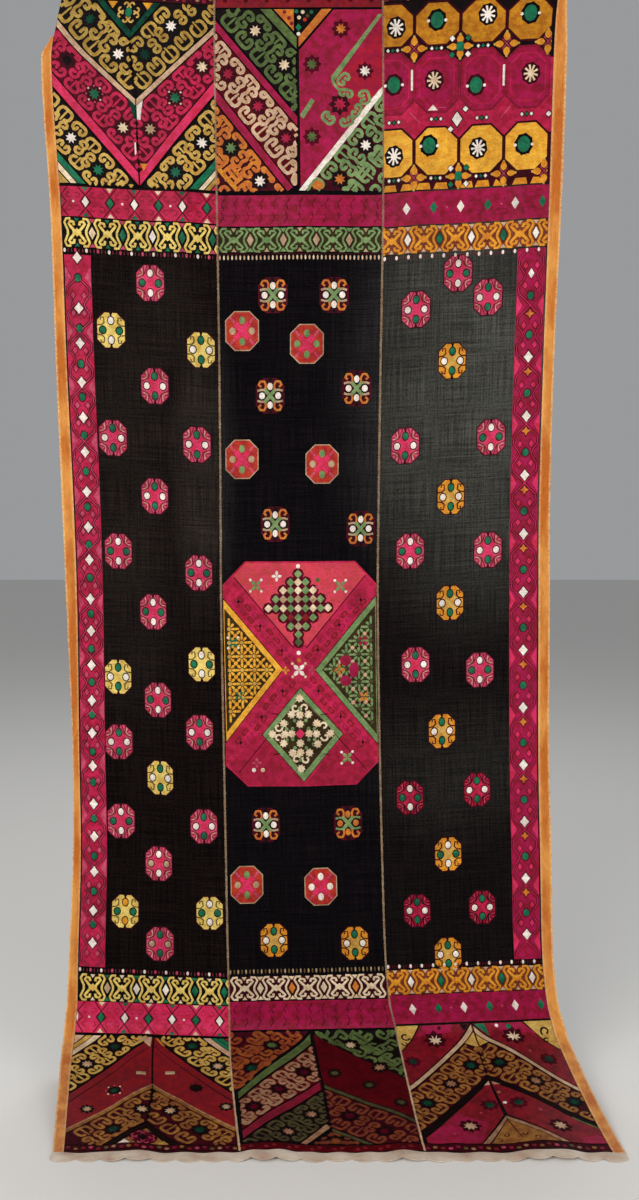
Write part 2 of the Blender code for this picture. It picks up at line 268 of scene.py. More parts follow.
class Strip:
    """One woven strip: its width when flat, its weave's columns, and its place in the shawl."""

    def __init__(self, name, sags):
        self.name = name
        self.width = STRIP_WIDTHS[name]
        self.sags = sags
        count = round(self.width / CELL)
        self.columns = [self.width * i / count for i in range(count + 1)]

    def edges(self, down):
        if self.name == "left":
            edge = line_at("left", down) + line_at("left_band", down)
            return edge + SEAM_GAP, line_at("left_seam", down) - SEAM_GAP / 2
        if self.name == "centre":
            left, right = line_at("left_seam", down), line_at("right_seam", down)
            return left + SEAM_GAP / 2, right - SEAM_GAP / 2
        edge = line_at("right", down) - line_at("right_band", down)
        return line_at("right_seam", down) + SEAM_GAP / 2, edge - SEAM_GAP

    def lay(self, flat):
        """Points on the draped cloth for rows of (across, down, out) on the flat strip."""
        flat = np.asarray(flat, float)
        share = flat[:, 0] / self.width
        sags = [np.interp(flat[:, 1], SAG_PLACES, sag) for sag in self.sags]
        down = flat[:, 1] + sags[0] + (sags[1] - sags[0]) * share
        down = np.clip(down, TOP_END, CLOTH_END)
        left, right = self.edges(down)
        return cloth_points(left + (right - left) * share, down, flat[:, 2])


LEFT = Strip("left", (SAG_LEFT_EDGE, SAG_LEFT_SEAM))
CENTRE = Strip("centre", (SAG_LEFT_SEAM, SAG_RIGHT_SEAM))
RIGHT = Strip("right", (SAG_RIGHT_SEAM, SAG_RIGHT_EDGE))
FLAT_LENGTH = CLOTH_END - TOP_END
MAP_COLUMNS = 3
TILE_EDGE = 0.01
EDGE_SPREAD = 0.0004


def in_tile(share):
    """A place across one tile of a map, kept a little inside the tile's edges."""
    return TILE_EDGE + (1.0 - 2.0 * TILE_EDGE) * share


def map_places(flat, faces, width, side=0, sides=1):
    """Where each face's corners lie on the square map that holds the flat strip's finish.

    A face that stands square to the cloth is spread a little, so that it has a place too.
    """
    flat = np.asarray(flat, float)
    places = []
    for face in faces:
        corners = flat[list(face)]
        along = corners - corners[0]
        spread = along[np.argmax((along ** 2).sum(axis=1))]
        across = along[:, 0] * spread[1] - along[:, 1] * spread[0]
        size = max(hypot(*spread), 1e-6)
        if np.ptp(across) < size * 1e-5:
            half = len(face) // 2
            corners = corners.copy()
            corners[half:] += np.array((spread[1], -spread[0])) / size * EDGE_SPREAD
        share = (corners[:, 1] - TOP_END) / FLAT_LENGTH * MAP_COLUMNS
        column = min(int(share.mean()), MAP_COLUMNS - 1)
        x = (column + in_tile(corners[:, 0] / width)) / MAP_COLUMNS
        y = in_tile(share - column)
        places += zip((side + np.clip(x, 0.0, 1.0)) / sides, np.clip(1.0 - y, 0.0, 1.0))
    return places


def make_piece(name, points, faces, materials, indices=None, maps=None, sharp=50):
    """A mesh piece with its materials and named maps, each a place for every face corner."""
    mesh = bpy.data.meshes.new(name)
    mesh.from_pydata(np.asarray(points).tolist(), [], faces)
    for material in materials:
        mesh.materials.append(material)
    if indices is not None:
        mesh.polygons.foreach_set("material_index", np.asarray(indices, np.int32))
    for label, places in (maps or {}).items():
        layer = mesh.uv_layers.new(name=label)
        layer.data.foreach_set("uv", np.asarray(places, np.float32).ravel())
    mesh.shade_smooth()
    mesh.set_sharp_from_angle(angle=radians(sharp))
    mesh.update()
    piece = bpy.data.objects.new(name, mesh)
    bpy.context.scene.collection.objects.link(piece)
    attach(piece, "root")
    return piece


# ---------------------------------------------------------------- finishes

def linear(colour):
    """A screen colour from 0 to 255 as the linear one that a shader takes."""
    shares = [c / 255 for c in colour]
    return tuple(c / 12.92 if c <= 0.04045 else ((c + 0.055) / 1.055) ** 2.4 for c in shares)


class Finish:
    """A procedural material and the short hand for its nodes."""

    def __init__(self, name, roughness, sheen=0.0, specular=0.5):
        self.material = bpy.data.materials.new(name)
        self.material.use_nodes = True
        self.nodes = self.material.node_tree.nodes
        self.links = self.material.node_tree.links
        self.shader = self.nodes["Principled BSDF"]
        self.shader.inputs["Roughness"].default_value = roughness
        self.shader.inputs["Sheen Weight"].default_value = sheen
        self.shader.inputs["Sheen Roughness"].default_value = 0.4
        self.shader.inputs["Specular IOR Level"].default_value = specular

    def put(self, socket, value):
        """Links another node's outlet to a socket, or sets a plain value on it."""
        if isinstance(value, bpy.types.NodeSocket):
            self.links.new(value, socket)
        else:
            socket.default_value = value

    def add(self, kind, settings=(), **inputs):
        node = self.nodes.new(kind)
        for key, value in dict(settings).items():
            setattr(node, key, value)
        for key, value in inputs.items():
            self.put(node.inputs[key.replace("_", " ")], value)
        return node

    def map(self, name, scale):
        uv = self.add("ShaderNodeUVMap", {"uv_map": name})
        return self.add("ShaderNodeMapping", Vector=uv.outputs["UV"], Scale=scale).outputs[0]

    def place(self, scale=(1, 1, 1)):
        spot = self.add("ShaderNodeTexCoord").outputs["Object"]
        return self.add("ShaderNodeMapping", Vector=spot, Scale=scale).outputs[0]

    def amount(self, name):
        return self.add("ShaderNodeAttribute", {"attribute_name": name}).outputs["Fac"]

    def noise(self, vector, scale, detail=2.0, roughness=0.5):
        return self.add("ShaderNodeTexNoise", Vector=vector, Scale=scale, Detail=detail,
                        Roughness=roughness).outputs["Fac"]

    def wave(self, direction, scale, distortion=0.6):
        return self.add("ShaderNodeTexWave", {"bands_direction": direction}, Scale=scale,
                        Vector=self.map("Weave", (1, 1, 1)), Distortion=distortion).outputs["Fac"]

    def ramp(self, value, *stops):
        node = self.add("ShaderNodeValToRGB", Fac=value)
        ramp = node.color_ramp
        while len(ramp.elements) < len(stops):
            ramp.elements.new(0.5)
        for element, (place, colour) in zip(ramp.elements, stops):
            shade = colour if isinstance(colour, tuple) else (colour,) * 3
            element.position = place
            element.color = (*shade, 1.0)
        return node.outputs["Color"]

    def mix(self, factor, first, second, blend="MIX"):
        node = self.add("ShaderNodeMix", {"data_type": "RGBA", "blend_type": blend})
        for index, value in ((0, factor), (6, first), (7, second)):
            self.put(node.inputs[index], (*value, 1.0) if isinstance(value, tuple) else value)
        return node.outputs[2]

    def sum(self, first, second, operation="ADD"):
        node = self.add("ShaderNodeMath", {"operation": operation})
        self.put(node.inputs[0], first)
        self.put(node.inputs[1], second)
        return node.outputs[0]

    def finish(self, colour, height, depth=0.0003, strength=0.7, roughness=None):
        bumps = self.add("ShaderNodeBump", Height=height, Distance=depth, Strength=strength)
        self.put(self.shader.inputs["Base Color"], colour)
        self.put(self.shader.inputs["Normal"], bumps.outputs["Normal"])
        if roughness is not None:
            self.put(self.shader.inputs["Roughness"], roughness)
        return self.material


# Each thread's dye, and the dye that it drifts to in blotches
THREADS = {
    "rose": ((198, 78, 104), (178, 48, 80)),
    "pink": ((214, 44, 94), (196, 30, 66)),
    "coral": ((212, 60, 84), (196, 62, 66)),
    "cerise": ((190, 26, 72), (158, 12, 48)),
    "carmine": ((168, 16, 60), (142, 8, 40)),
    "magenta": ((164, 8, 70), (136, 6, 38)),
    "crimson": ((140, 6, 46), (112, 4, 30)),
    "blood": ((136, 10, 32), (104, 4, 20)),
    "wine": ((88, 4, 28), (66, 4, 22)),
    "ruby": ((170, 14, 42), (150, 8, 52)),
    "maroon": ((66, 6, 20), (46, 6, 16)),
    "red": ((134, 10, 20), (112, 8, 28)),
    "oxblood": ((88, 4, 14), (72, 4, 14)),
    "vermilion": ((186, 52, 28), (160, 28, 30)),
    "primrose": ((234, 206, 112), (212, 174, 80)),
    "straw": ((206, 168, 86), (184, 138, 58)),
    "yellow": ((184, 150, 70), (160, 120, 46)),
    "marigold": ((236, 174, 54), (220, 148, 38)),
    "gold": ((222, 150, 36), (204, 122, 24)),
    "amber": ((196, 130, 20), (172, 100, 14)),
    "orange": ((206, 122, 40), (188, 94, 36)),
    "copper": ((152, 78, 28), (128, 50, 22)),
    "rust": ((126, 58, 26), (104, 38, 20)),
    "bronze": ((160, 108, 44), (130, 74, 34)),
    "olive": ((104, 88, 40), (84, 64, 32)),
    "white": ((244, 234, 222), (232, 212, 198)),
    "cream": ((232, 210, 176), (216, 184, 148)),
    "buff": ((206, 172, 140), (190, 148, 114)),
    "clay": ((174, 132, 100), (150, 100, 72)),
    "tan": ((186, 158, 124), (166, 132, 100)),
    "leaf": ((124, 150, 94), (100, 128, 76)),
    "moss": ((88, 108, 54), (70, 84, 44)),
    "fern": ((76, 72, 38), (58, 46, 26)),
    "umber": ((58, 46, 22), (44, 32, 16)),
    "emerald": ((16, 114, 76), (10, 88, 60)),
    "bottle": ((8, 70, 50), (10, 46, 36)),
    "dark": ((20, 9, 10), (12, 7, 8)),
}
DEEP_THREADS = ("dark", "maroon", "wine", "bottle", "umber", "oxblood")
STITCH_LENGTH = 6.5
STITCH_WIDTH = 0.9


def silk(name):
    """Untwisted floss laid in short parallel stitches, uneven in dye and worn in places."""
    deep = name in DEEP_THREADS
    finish = Finish("silk_" + name, 0.45, sheen=0.0 if deep else 0.03, specular=0.05 if deep else 0.14)
    main, kin = (linear(colour) for colour in THREADS[name])
    place = finish.place()
    blotch = finish.ramp(finish.noise(place, 70, 3, 0.6), (0.42, 0.0), (0.60, 1.0))
    body = finish.mix(blotch, main, kin)
    stitches = finish.add(
        "ShaderNodeTexBrick", {"offset": 0.37, "offset_frequency": 3},
        Vector=finish.map("Stitch", (1000, 1000, 1000)), Color1=(1.0, 1.0, 1.0, 1),
        Color2=(0.72, 0.72, 0.72, 1), Mortar=(0.40, 0.40, 0.40, 1), Scale=1.0,
        Brick_Width=STITCH_LENGTH, Row_Height=STITCH_WIDTH, Mortar_Size=0.09, Mortar_Smooth=0.6,
    )
    body = finish.mix(1.0, body, stitches.outputs["Color"], "MULTIPLY")
    dye = finish.ramp(finish.noise(place, 16, 3), (0.30, 0.85), (0.70, 1.20))
    body = finish.mix(1.0, body, dye, "MULTIPLY")
    worn = finish.ramp(finish.noise(place, 420, 2, 0.6), (0.30, 0.75), (0.40, 0.0))
    body = finish.mix(worn, body, tuple(c * 0.25 + 0.004 for c in main))
    floss = finish.noise(finish.map("Stitch", (120, 2600, 1)), 1.0, 2)
    height = finish.sum(stitches.outputs["Fac"], finish.sum(floss, 0.5, "MULTIPLY"), "SUBTRACT")
    rough = finish.ramp(floss, (0.3, 0.36), (0.7, 0.55))
    return finish.finish(body, finish.sum(1.0, height, "SUBTRACT"), 0.00025, 0.7, rough)


def cotton(name, dark, light, warm):
    """Hand-loomed cotton with uneven yarn, turning to a pale open weave where the weave is marked thin:
    that pale grey is painted light, the light through the thin weave and a painted sheen on it.
    """
    finish = Finish(name, 0.92, specular=0.03)
    vertical = finish.noise(finish.map("Weave", (420, 9, 1)), 1.0, 3, 0.6)
    level = finish.noise(finish.map("Weave", (9, 380, 1)), 1.0, 3, 0.6)
    slubs = finish.noise(finish.map("Weave", (230, 230, 1)), 1.0, 2, 0.7)
    cross = finish.sum(finish.sum(vertical, level, "MULTIPLY"), finish.sum(slubs, 0.35, "MULTIPLY"))
    yarn = finish.ramp(cross, (0.34, linear(dark)), (0.60, linear(warm)))
    # The open weave's pale colour is painted light: the light through the thin weave, and a painted sheen
    # on it.
    gaps = linear([c * 0.42 for c in light])
    open_weave_light = finish.ramp(cross, (0.30, gaps), (0.62, linear(light)))
    patches = finish.ramp(finish.noise(finish.place(), 5.0, 3), (0.35, 0.55), (0.65, 1.0))
    colour = finish.mix(finish.sum(finish.amount("SheerLight"), patches, "MULTIPLY"), yarn, open_weave_light)
    woven = finish.sum(finish.wave("X", 420.0), finish.wave("Y", 380.0), "MULTIPLY")
    return finish.finish(colour, finish.sum(woven, slubs))


def band_cotton(name, colour, faded, pale):
    """Plain orange cotton, faded in patches and worn pale along its two folds."""
    finish = Finish(name, 0.82, sheen=0.15, specular=0.3)
    patches = finish.noise(finish.place((1, 1, 0.35)), 26, 3)
    body = finish.ramp(patches, (0.40, linear(colour)), (0.62, linear(faded)))
    yarn = finish.noise(finish.map("Weave", (500, 60, 1)), 1.0, 2, 0.6)
    body = finish.mix(0.45, body, finish.ramp(yarn, (0.3, 0.45), (0.7, 1.15)), "MULTIPLY")
    rubbed = finish.ramp(finish.noise(finish.place(), 240, 2), (0.35, 0.2), (0.6, 1.0))
    body = finish.mix(finish.sum(finish.amount("Worn"), rubbed, "MULTIPLY"), body, linear(pale))
    return finish.finish(body, finish.sum(finish.wave("Y", 300.0, 1.2), yarn), strength=0.6)


def white_cotton():
    """Washed white cotton with a close weave, a little grey and pink in places."""
    finish = Finish("white_edging_cotton", 0.85, sheen=0.15, specular=0.3)
    tint = finish.noise(finish.place(), 22, 3)
    body = finish.ramp(tint, (0.30, linear((176, 144, 124))), (0.50, linear((198, 178, 156))),
                       (0.72, linear((216, 202, 184))))
    grain = finish.noise(finish.place((700, 700, 260)), 1.0, 2)
    body = finish.mix(0.3, body, finish.ramp(grain, (0.3, 0.55), (0.7, 1.1)), "MULTIPLY")
    return finish.finish(body, grain)


def rod_wood():
    """Pale wood with its grain along the rod, rubbed darker where hands have held it."""
    finish = Finish("pale_rod_wood", 0.5, specular=0.4)
    grain = finish.noise(finish.place((2.2, 90, 90)), 1.0, 5, 0.65)
    body = finish.ramp(grain, (0.32, linear((118, 78, 44))), (0.52, linear((170, 124, 76))),
                       (0.72, linear((196, 152, 102))))
    rub = finish.ramp(finish.noise(finish.place((3, 8, 8)), 1.0, 2), (0.35, 0.72), (0.65, 1.05))
    body = finish.mix(1.0, body, rub, "MULTIPLY")
    rough = finish.ramp(grain, (0.3, 0.42), (0.7, 0.62))
    return finish.finish(body, grain, 0.0002, 0.5, rough)


# ---------------------------------------------------------------- shapes on the flat

def part_way(start, stop, share):
    """The point at a share of the way between two."""
    return tuple(a + (b - a) * share for a, b in zip(start, stop))


def sides_of(shape):
    """Each side of a closed shape as its two ends."""
    return zip(shape, shape[1:] + shape[:1])


def half_plane(shape, a, b, c):
    """The part of a convex shape where a x + b y is at most c."""
    kept = []
    for start, stop in sides_of(shape):
        s0, s1 = (a * x + b * y - c for x, y in (start, stop))
        if s0 <= 0.0:
            kept.append(start)
        if (s0 < 0.0 < s1) or (s1 < 0.0 < s0):
            kept.append(part_way(start, stop, s0 / (s0 - s1)))
    return kept


def face_up(shape):
    """The shape with its corners in the order that faces someone who looks at the cloth."""
    turn = sum(x0 * y1 - x1 * y0 for (x0, y0), (x1, y1) in sides_of(shape))
    return shape if turn < 0.0 else shape[::-1]


def planes(shape, inset=0.0):
    """The half planes that bound a convex shape, moved in by the inset."""
    bounds = []
    for (x0, y0), (x1, y1) in sides_of(face_up(list(shape))):
        length = hypot(x1 - x0, y1 - y0)
        if length > 1e-9:
            a, b = -(y1 - y0) / length, (x1 - x0) / length
            bounds.append((a, b, a * x0 + b * y0 - inset))
    return bounds


def shrunk(shape, inset):
    for a, b, c in planes(shape, inset):
        shape = half_plane(shape, a, b, c)
        if len(shape) < 3:
            return []
    return shape


def slices(shape, axis, lines):
    """A convex shape cut along the grid lines that cross it."""
    places = [point[axis] for point in shape]
    a, b = (1.0, 0.0) if axis == 0 else (0.0, 1.0)
    parts = []
    for line in lines[bisect_right(lines, min(places)):bisect_left(lines, max(places))]:
        parts.append(half_plane(shape, a, b, line))
        shape = half_plane(shape, -a, -b, -line)
    parts.append(shape)
    return [part for part in parts if len(part) > 2]


def trimmed(path, bounds):
    """The stretches of a path that lie inside the half planes."""
    stretches, joined = [], False
    for start, stop in zip(path, path[1:]):
        low, high = 0.0, 1.0
        for a, b, c in bounds:
            s0, s1 = (a * x + b * y - c for x, y in (start, stop))
            if s0 > 0.0 and s1 > 0.0:
                high = -1.0
            elif s0 > 0.0:
                low = max(low, s0 / (s0 - s1))
            elif s1 > 0.0:
                high = min(high, s0 / (s0 - s1))
        inside = high - low >= 1e-6
        if inside:
            if not joined or low > 0.0:
                stretches.append([part_way(start, stop, low)])
            stretches[-1].append(part_way(start, stop, high))
        joined = inside and high == 1.0
    return stretches


def ring(centre, across, down, count, turn=0.0, dips=None):
    """Points round an oval, every second one drawn in by the dips for a star."""
    points = []
    for i in range(count):
        angle = turn + 2 * pi * i / count
        reach = dips if dips and i % 2 else 1.0
        points.append((centre[0] + across * reach * cos(angle), centre[1] + down * reach * sin(angle)))
    return points


def middle_of(shape):
    return [sum(point[i] for point in shape) / len(shape) for i in (0, 1)]


def grown(shape, share):
    """A shape made larger or smaller about its middle."""
    mx, my = middle_of(shape)
    return [(mx + (x - mx) * share, my + (y - my) * share) for x, y in shape]


def box(left, top, right, bottom):
    return [(left, top), (right, top), (right, bottom), (left, bottom)]


# ---------------------------------------------------------------- needlework

FILL_HEIGHT = 0.30 * MM
LAYER_STEP = 0.14 * MM
LINE_RISE = 0.55
PAD_RISE = 0.75
PAD_TOP = 0.80  # how wide a pad's top is, as a share of its foot
PAD_CROWN = 0.06 * MM
SUNK = -0.30 * MM
OUTLINE_GAP = 0.55  # millimetres of bare cloth left round each filled shape
RIM = 2.0


class Layer:
    """Faces of one needlework piece, in places on the flat strip."""

    def __init__(self):
        self.points, self.faces, self.threads, self.stitches = [], [], [], []

    def point(self, across, down, out):
        self.points.append((across, down, out))
        return len(self.points) - 1

    def face(self, corners, thread, slant=0.0, stitches=None):
        """One face, with its corners' places across and along stitches of that slant."""
        if stitches is None:
            c, s = cos(slant), sin(slant)
            stitches = [(x * c + y * s, y * c - x * s) for x, y, _ in (self.points[i] for i in corners)]
        self.faces.append(tuple(corners))
        self.threads.append(thread)
        self.stitches += stitches


class Needlework:
    """Stitched shapes on one strip, gathered flat and then laid on the draped cloth."""

    def __init__(self, strip):
        self.strip = strip
        self.fills, self.lines = Layer(), Layer()
        self.mirror = None
        self.on = None

    def height(self, rise):
        """How far out stitches stand that rise by so much from the fill they lie on."""
        below = 0.0 if self.on is None else FILL_HEIGHT + self.on * LAYER_STEP
        return below + rise * MM

    def foot(self):
        return SUNK if self.on is None else self.height(-0.06)

    def place(self, point):
        across, down = point
        if self.mirror is not None:
            down = self.mirror - down
        return across * MM, down * MM

    def fill(self, shape, thread, slant=0.0, layer=0, gap=OUTLINE_GAP):
        """Parallel stitches over a convex shape, cut along the cloth's own grid."""
        shape = shrunk(face_up([self.place(point) for point in shape]), gap * MM)
        if not shape:
            return
        known, sides = {}, {}
        work = self.fills

        def corner(across, down, out):
            key = (round(across, 6), round(down, 6), out)
            if key not in known:
                known[key] = work.point(*key)
            return known[key]

        for band in slices(shape, 1, ROWS):
            for cell in slices(band, 0, self.strip.columns):
                face = [corner(*spot, FILL_HEIGHT + layer * LAYER_STEP) for spot in cell]
                face = [index for i, index in enumerate(face) if index != face[i - 1]]
                if len(face) < 3:
                    continue
                work.face(face, thread, slant)
                for start, stop in sides_of(face):
                    if not sides.pop((stop, start), False):
                        sides[start, stop] = True
        for start, stop in sides:
            low = [corner(*work.points[index][:2], SUNK) for index in (start, stop)]
            work.face((stop, start, *low), thread, slant)

    def line(self, path, thread, width, rise=LINE_RISE, bounds=None, taper=0.0):
        """A crowned line of stitches laid square to its path, narrower at its end by the taper."""
        if bounds is not None:
            for stretch in trimmed(path, bounds):
                if sum(hypot(b[0] - a[0], b[1] - a[1]) for a, b in zip(stretch, stretch[1:])) > width / 2:
                    self.line(stretch, thread, width, rise, None, taper)
            return
        points = [self.place(point) for point in path]
        spots = [points[0]]
        for a, b in zip(points, points[1:]):
            count = max(1, ceil(hypot(b[0] - a[0], b[1] - a[1]) / CELL))
            spots += [part_way(a, b, i / count) for i in range(1, count + 1)]
        work, foot, crown = self.lines, self.foot(), self.height(rise)
        rails, length, last = [], 0.0, len(spots) - 1
        for i, (x, y) in enumerate(spots):
            before, after = spots[max(i - 1, 0)], spots[min(i + 1, last)]
            dx, dy = after[0] - before[0], after[1] - before[1]
            half = width * MM / 2 * (1.0 - taper * i / last)
            size = hypot(dx, dy) or 1.0
            nx, ny = -dy / size * half, dx / size * half
            if i:
                length += hypot(x - spots[i - 1][0], y - spots[i - 1][1])
            rails.append((work.point(x - nx, y - ny, foot), work.point(x, y, crown),
                          work.point(x + nx, y + ny, foot), length, half))
        for (a0, b0, c0, s0, h0), (a1, b1, c1, s1, h1) in zip(rails, rails[1:]):
            work.face((b0, b1, a1, a0), thread, 0.0, [(0.0, s0), (0.0, s1), (-h1, s1), (-h0, s0)])
            work.face((c0, c1, b1, b0), thread, 0.0, [(h0, s0), (h1, s1), (0.0, s1), (0.0, s0)])
        for turn, (a, b, c, s, h) in ((-1, rails[0]), (1, rails[-1])):
            work.face((a, b, c)[::turn], thread, 0.0, [(-h, s), (0.0, s), (h, s)][::turn])

    def pad(self, shape, thread, slant=0.0, rise=PAD_RISE, rim=None):
        """A raised pad of stitches, with a darker one showing round it as a rim."""
        if rim:
            mx, my = middle_of(shape)
            reach = max(hypot(x - mx, y - my) for x, y in shape)
            self.pad(grown(shape, 1.0 + RIM / reach), rim, slant, rise * 0.35)
        shape = face_up([self.place(point) for point in shape])
        work, height = self.lines, self.height(rise)
        low = [work.point(*spot, self.foot()) for spot in shape]
        top = [work.point(*spot, height) for spot in grown(shape, PAD_TOP)]
        centre = work.point(*middle_of(shape), height + PAD_CROWN)
        for (a, b), (c, d) in zip(sides_of(low), sides_of(top)):
            work.face((a, b, d, c), thread, slant)
            work.face((c, d, centre), thread, slant)

    def star(self, across, down, thread, size=10.0, rim="dark"):
        """An eight-rayed star on a darker one whose rays show between its own."""
        if rim:
            self.pad(ring((across, down), size * 1.6, size * 1.6, 16, 0.0, 0.72), rim, 0.6, 0.2)
        self.pad(ring((across, down), size, size, 16, pi / 8, 0.55), thread, 0.6, 0.6)

    def oval(self, across, down, wide, tall, thread, rim="dark"):
        self.pad(ring((across, down), wide, tall, 10), thread, pi / 2, rim=rim)

    def diamond(self, across, down, wide, tall, thread, rim="dark"):
        self.pad([(across - wide, down), (across, down + tall), (across + wide, down),
                  (across, down - tall)], thread, pi / 2, rim=rim)

    def make(self, name, slot):
        """The pieces of this needlework, laid on the draped strip."""
        made = []
        for label, layer in (("ground", self.fills), ("lines", self.lines)):
            used = sorted(set(layer.threads))
            flat = [(across, down) for across, down, _ in layer.points]
            maps = {"OFBake": map_places(flat, layer.faces, self.strip.width), "Stitch": layer.stitches}
            indices = [used.index(thread) for thread in layer.threads]
            piece = make_piece(f"{name}_silk_{label}", self.strip.lay(layer.points), layer.faces,
                               [SILKS[thread] for thread in used], indices, maps, sharp=75)
            made.append(piece)
        return made


# ---------------------------------------------------------------- charted shapes

HORN_WIDTH = 7.6
LONE_PERIOD = 80.0
ROW_REACH = 36.0
FAR_REACH = 54.0
FLAT_LINE = 0.36
THIN_LINE = 2.8
CORNERS = ((-1, -1), (-1, 1), (1, -1), (1, 1))


def hook(centre, size, turn, hand, sweep=305):
    """A curl that winds inward from its outside to near its middle."""
    points = []
    for i in range(9):
        share = i / 8
        angle = turn + hand * radians(sweep) * share
        reach = size * (1.0 - 0.62 * share)
        points.append((centre[0] + reach * cos(angle), centre[1] + reach * sin(angle)))
    return points


def horns(work, back, turn, half, deep, thread, width=HORN_WIDTH, notch=0.0, bar=None, bounds=None,
          drawn=None):
    """A pair of horns that roll inward from one back, which lies square to their turn."""
    ux, uy = cos(turn), sin(turn)
    edge = width / 2 + 0.6
    h, q0, q1 = half - edge, edge, deep - edge
    roll = q1 - q0
    bend = min(6.6, roll * 0.46, h * 0.6)
    cut = 0.293 * bend
    side = [(h - width - 1.2, q0 + roll * 0.44), (h - width - 2.8, q0 + roll * 0.60),
            (h - width - 1.9, q1 - 1.4), (h - bend, q1), (h - cut, q1 - cut), (h, q1 - bend),
            (h, q0 + bend), (h - cut, q0 + cut), (h - bend, q0)]
    if bar or roll < 9.0:
        side = side[2:]
    path = [(-p, q) for p, q in side] + [(0.0, q0 + notch)] + side[::-1]
    spots = [(back[0] + ux * q - uy * p, back[1] + uy * q + ux * p) for p, q in path]
    work.line(spots, thread, drawn or width, bounds=bounds)
    if bar:
        ends = [(back[0] + ux * q, back[1] + uy * q) for q in (q0, deep + 1.5)]
        work.line(ends, bar, drawn or width * 0.6, bounds=bounds)


def scrolls(work, shape, thread, along, stars=(), rim="dark"):
    """Pairs of rolled horns round each star, and barred ones between, out to the field's edges."""
    slope = atan2(along[1], along[0])
    ux, uy = cos(slope), sin(slope)
    bounds = planes(shape, 0.8)
    seeds = [(x, y) for x, y, _ in stars] or [tuple(middle_of(shape))]
    gaps = [hypot(b[0] - a[0], b[1] - a[1]) for a, b in zip(seeds, seeds[1:])]
    period = sum(gaps) / len(gaps) if gaps else LONE_PERIOD
    width = min(HORN_WIDTH, period * 0.092)
    drawn = THIN_LINE if thread in DEEP_THREADS else None

    def off(spot, forward, aside):
        """The place so far along the field and so far across it from another."""
        return spot[0] + ux * forward - uy * aside, spot[1] + uy * forward + ux * aside

    def reach(spot, side):
        """How far the field's long edge is from here, or None where that side is open."""
        found = [c - a * spot[0] - b * spot[1] for a, b, c in bounds if (a * -uy + b * ux) * side > 0.94]
        return min([distance for distance in found if distance > 10.0], default=None)

    def pair(spot, turn, deep, notch=0.0, bar=None):
        if all(a * spot[0] + b * spot[1] < c + 9.0 for a, b, c in bounds):
            horns(work, spot, turn, period * 0.238, deep, thread, width, notch, bar, bounds, drawn)

    if (seeds[-1][0] - seeds[0][0]) * ux + (seeds[-1][1] - seeds[0][1]) * uy < 0:
        seeds.reverse()
    seeds = [off(seeds[0], -period, 0), *seeds, off(seeds[-1], period, 0)]
    rows = [seeds]
    for side in (-1, 1):
        if all(reach(spot, side) is None for spot in seeds[1:-1]):
            rows.append([off(spot, 0, 2 * ROW_REACH * side) for spot in seeds])
    for row in rows:
        for i, spot in enumerate(row):
            for side in (-1, 1):
                inward = atan2(-ux * side, uy * side)
                far = min(reach(spot, side) or ROW_REACH, FAR_REACH)
                pair(off(spot, 0, side * far), inward, min(34.0, max(14.0, far - 12.5)))
                back = atan2(-uy * side, -ux * side)
                pair(off(spot, (period / 2 - 1.0) * side, 0), back, period / 2 - 14.5, 2.5)
                if i:
                    between = part_way(row[i - 1], spot, 0.5)
                    far = min(reach(between, side) or ROW_REACH, FAR_REACH)
                    pair(off(between, 0, side * far), inward, min(30.0, far - 12.0), 0.0, thread)
    for x, y, colour in stars:
        work.star(x, y, colour, 13.5 if colour == "crimson" else 12.0, rim)


def shapes(work, rows):
    """Filled shapes from a chart of thread and outline."""
    for thread, points in rows:
        work.fill(points, thread)


def fields(work, rows):
    """Filled fields from a chart of thread, ground, slope, outline and stars."""
    for thread, ground, along, points, stars in rows:
        rim = "maroon" if thread in ("cerise", "buff") else "dark"
        work.fill(points, ground or thread, atan2(along[1], along[0]), gap=0.9)
        work.on = 0
        if ground:
            scrolls(work, points, thread, along, stars, rim)
        else:
            for x, y, colour in stars:
                work.star(x, y, colour)
        work.on = None


def octagon(across, down, wide, tall, corner):
    """An eight-sided field: a box with its corners cut off."""
    left, right, top, foot = across - wide, across + wide, down - tall, down + tall
    return [(left + corner, top), (right - corner, top), (right, top + corner), (right, foot - corner),
            (right - corner, foot), (left + corner, foot), (left, foot - corner), (left, top + corner)]


# Each kind of blossom: half width and height, then the threads of its ground, cross, dark
# curls, hooked fingers, side fingers, ticks, edge and the rims of its buds
BLOSSOM_ROWS = {
    "pink": (27.0, 33.5, "rose", "pink", "crimson", None, None, None, "maroon", "wine"),
    "cerise": (26.0, 32.5, "ruby", "cerise", "maroon", None, None, None, "maroon", "maroon"),
    "yellow": (26.5, 33.0, "primrose", "primrose", "olive", None, None, None, "maroon", "dark"),
    "orange": (26.5, 33.0, "gold", "straw", "maroon", None, None, None, "maroon", "dark"),
    "white": (26.5, 32.0, "maroon", "leaf", None, "orange", "tan", None, "wine", "dark"),
    "red": (31.0, 36.0, "vermilion", "pink", None, None, None, "rose", "tan", None),
    "green": (26.5, 32.0, "maroon", "leaf", None, "orange", "leaf", None, "wine", "dark"),
}


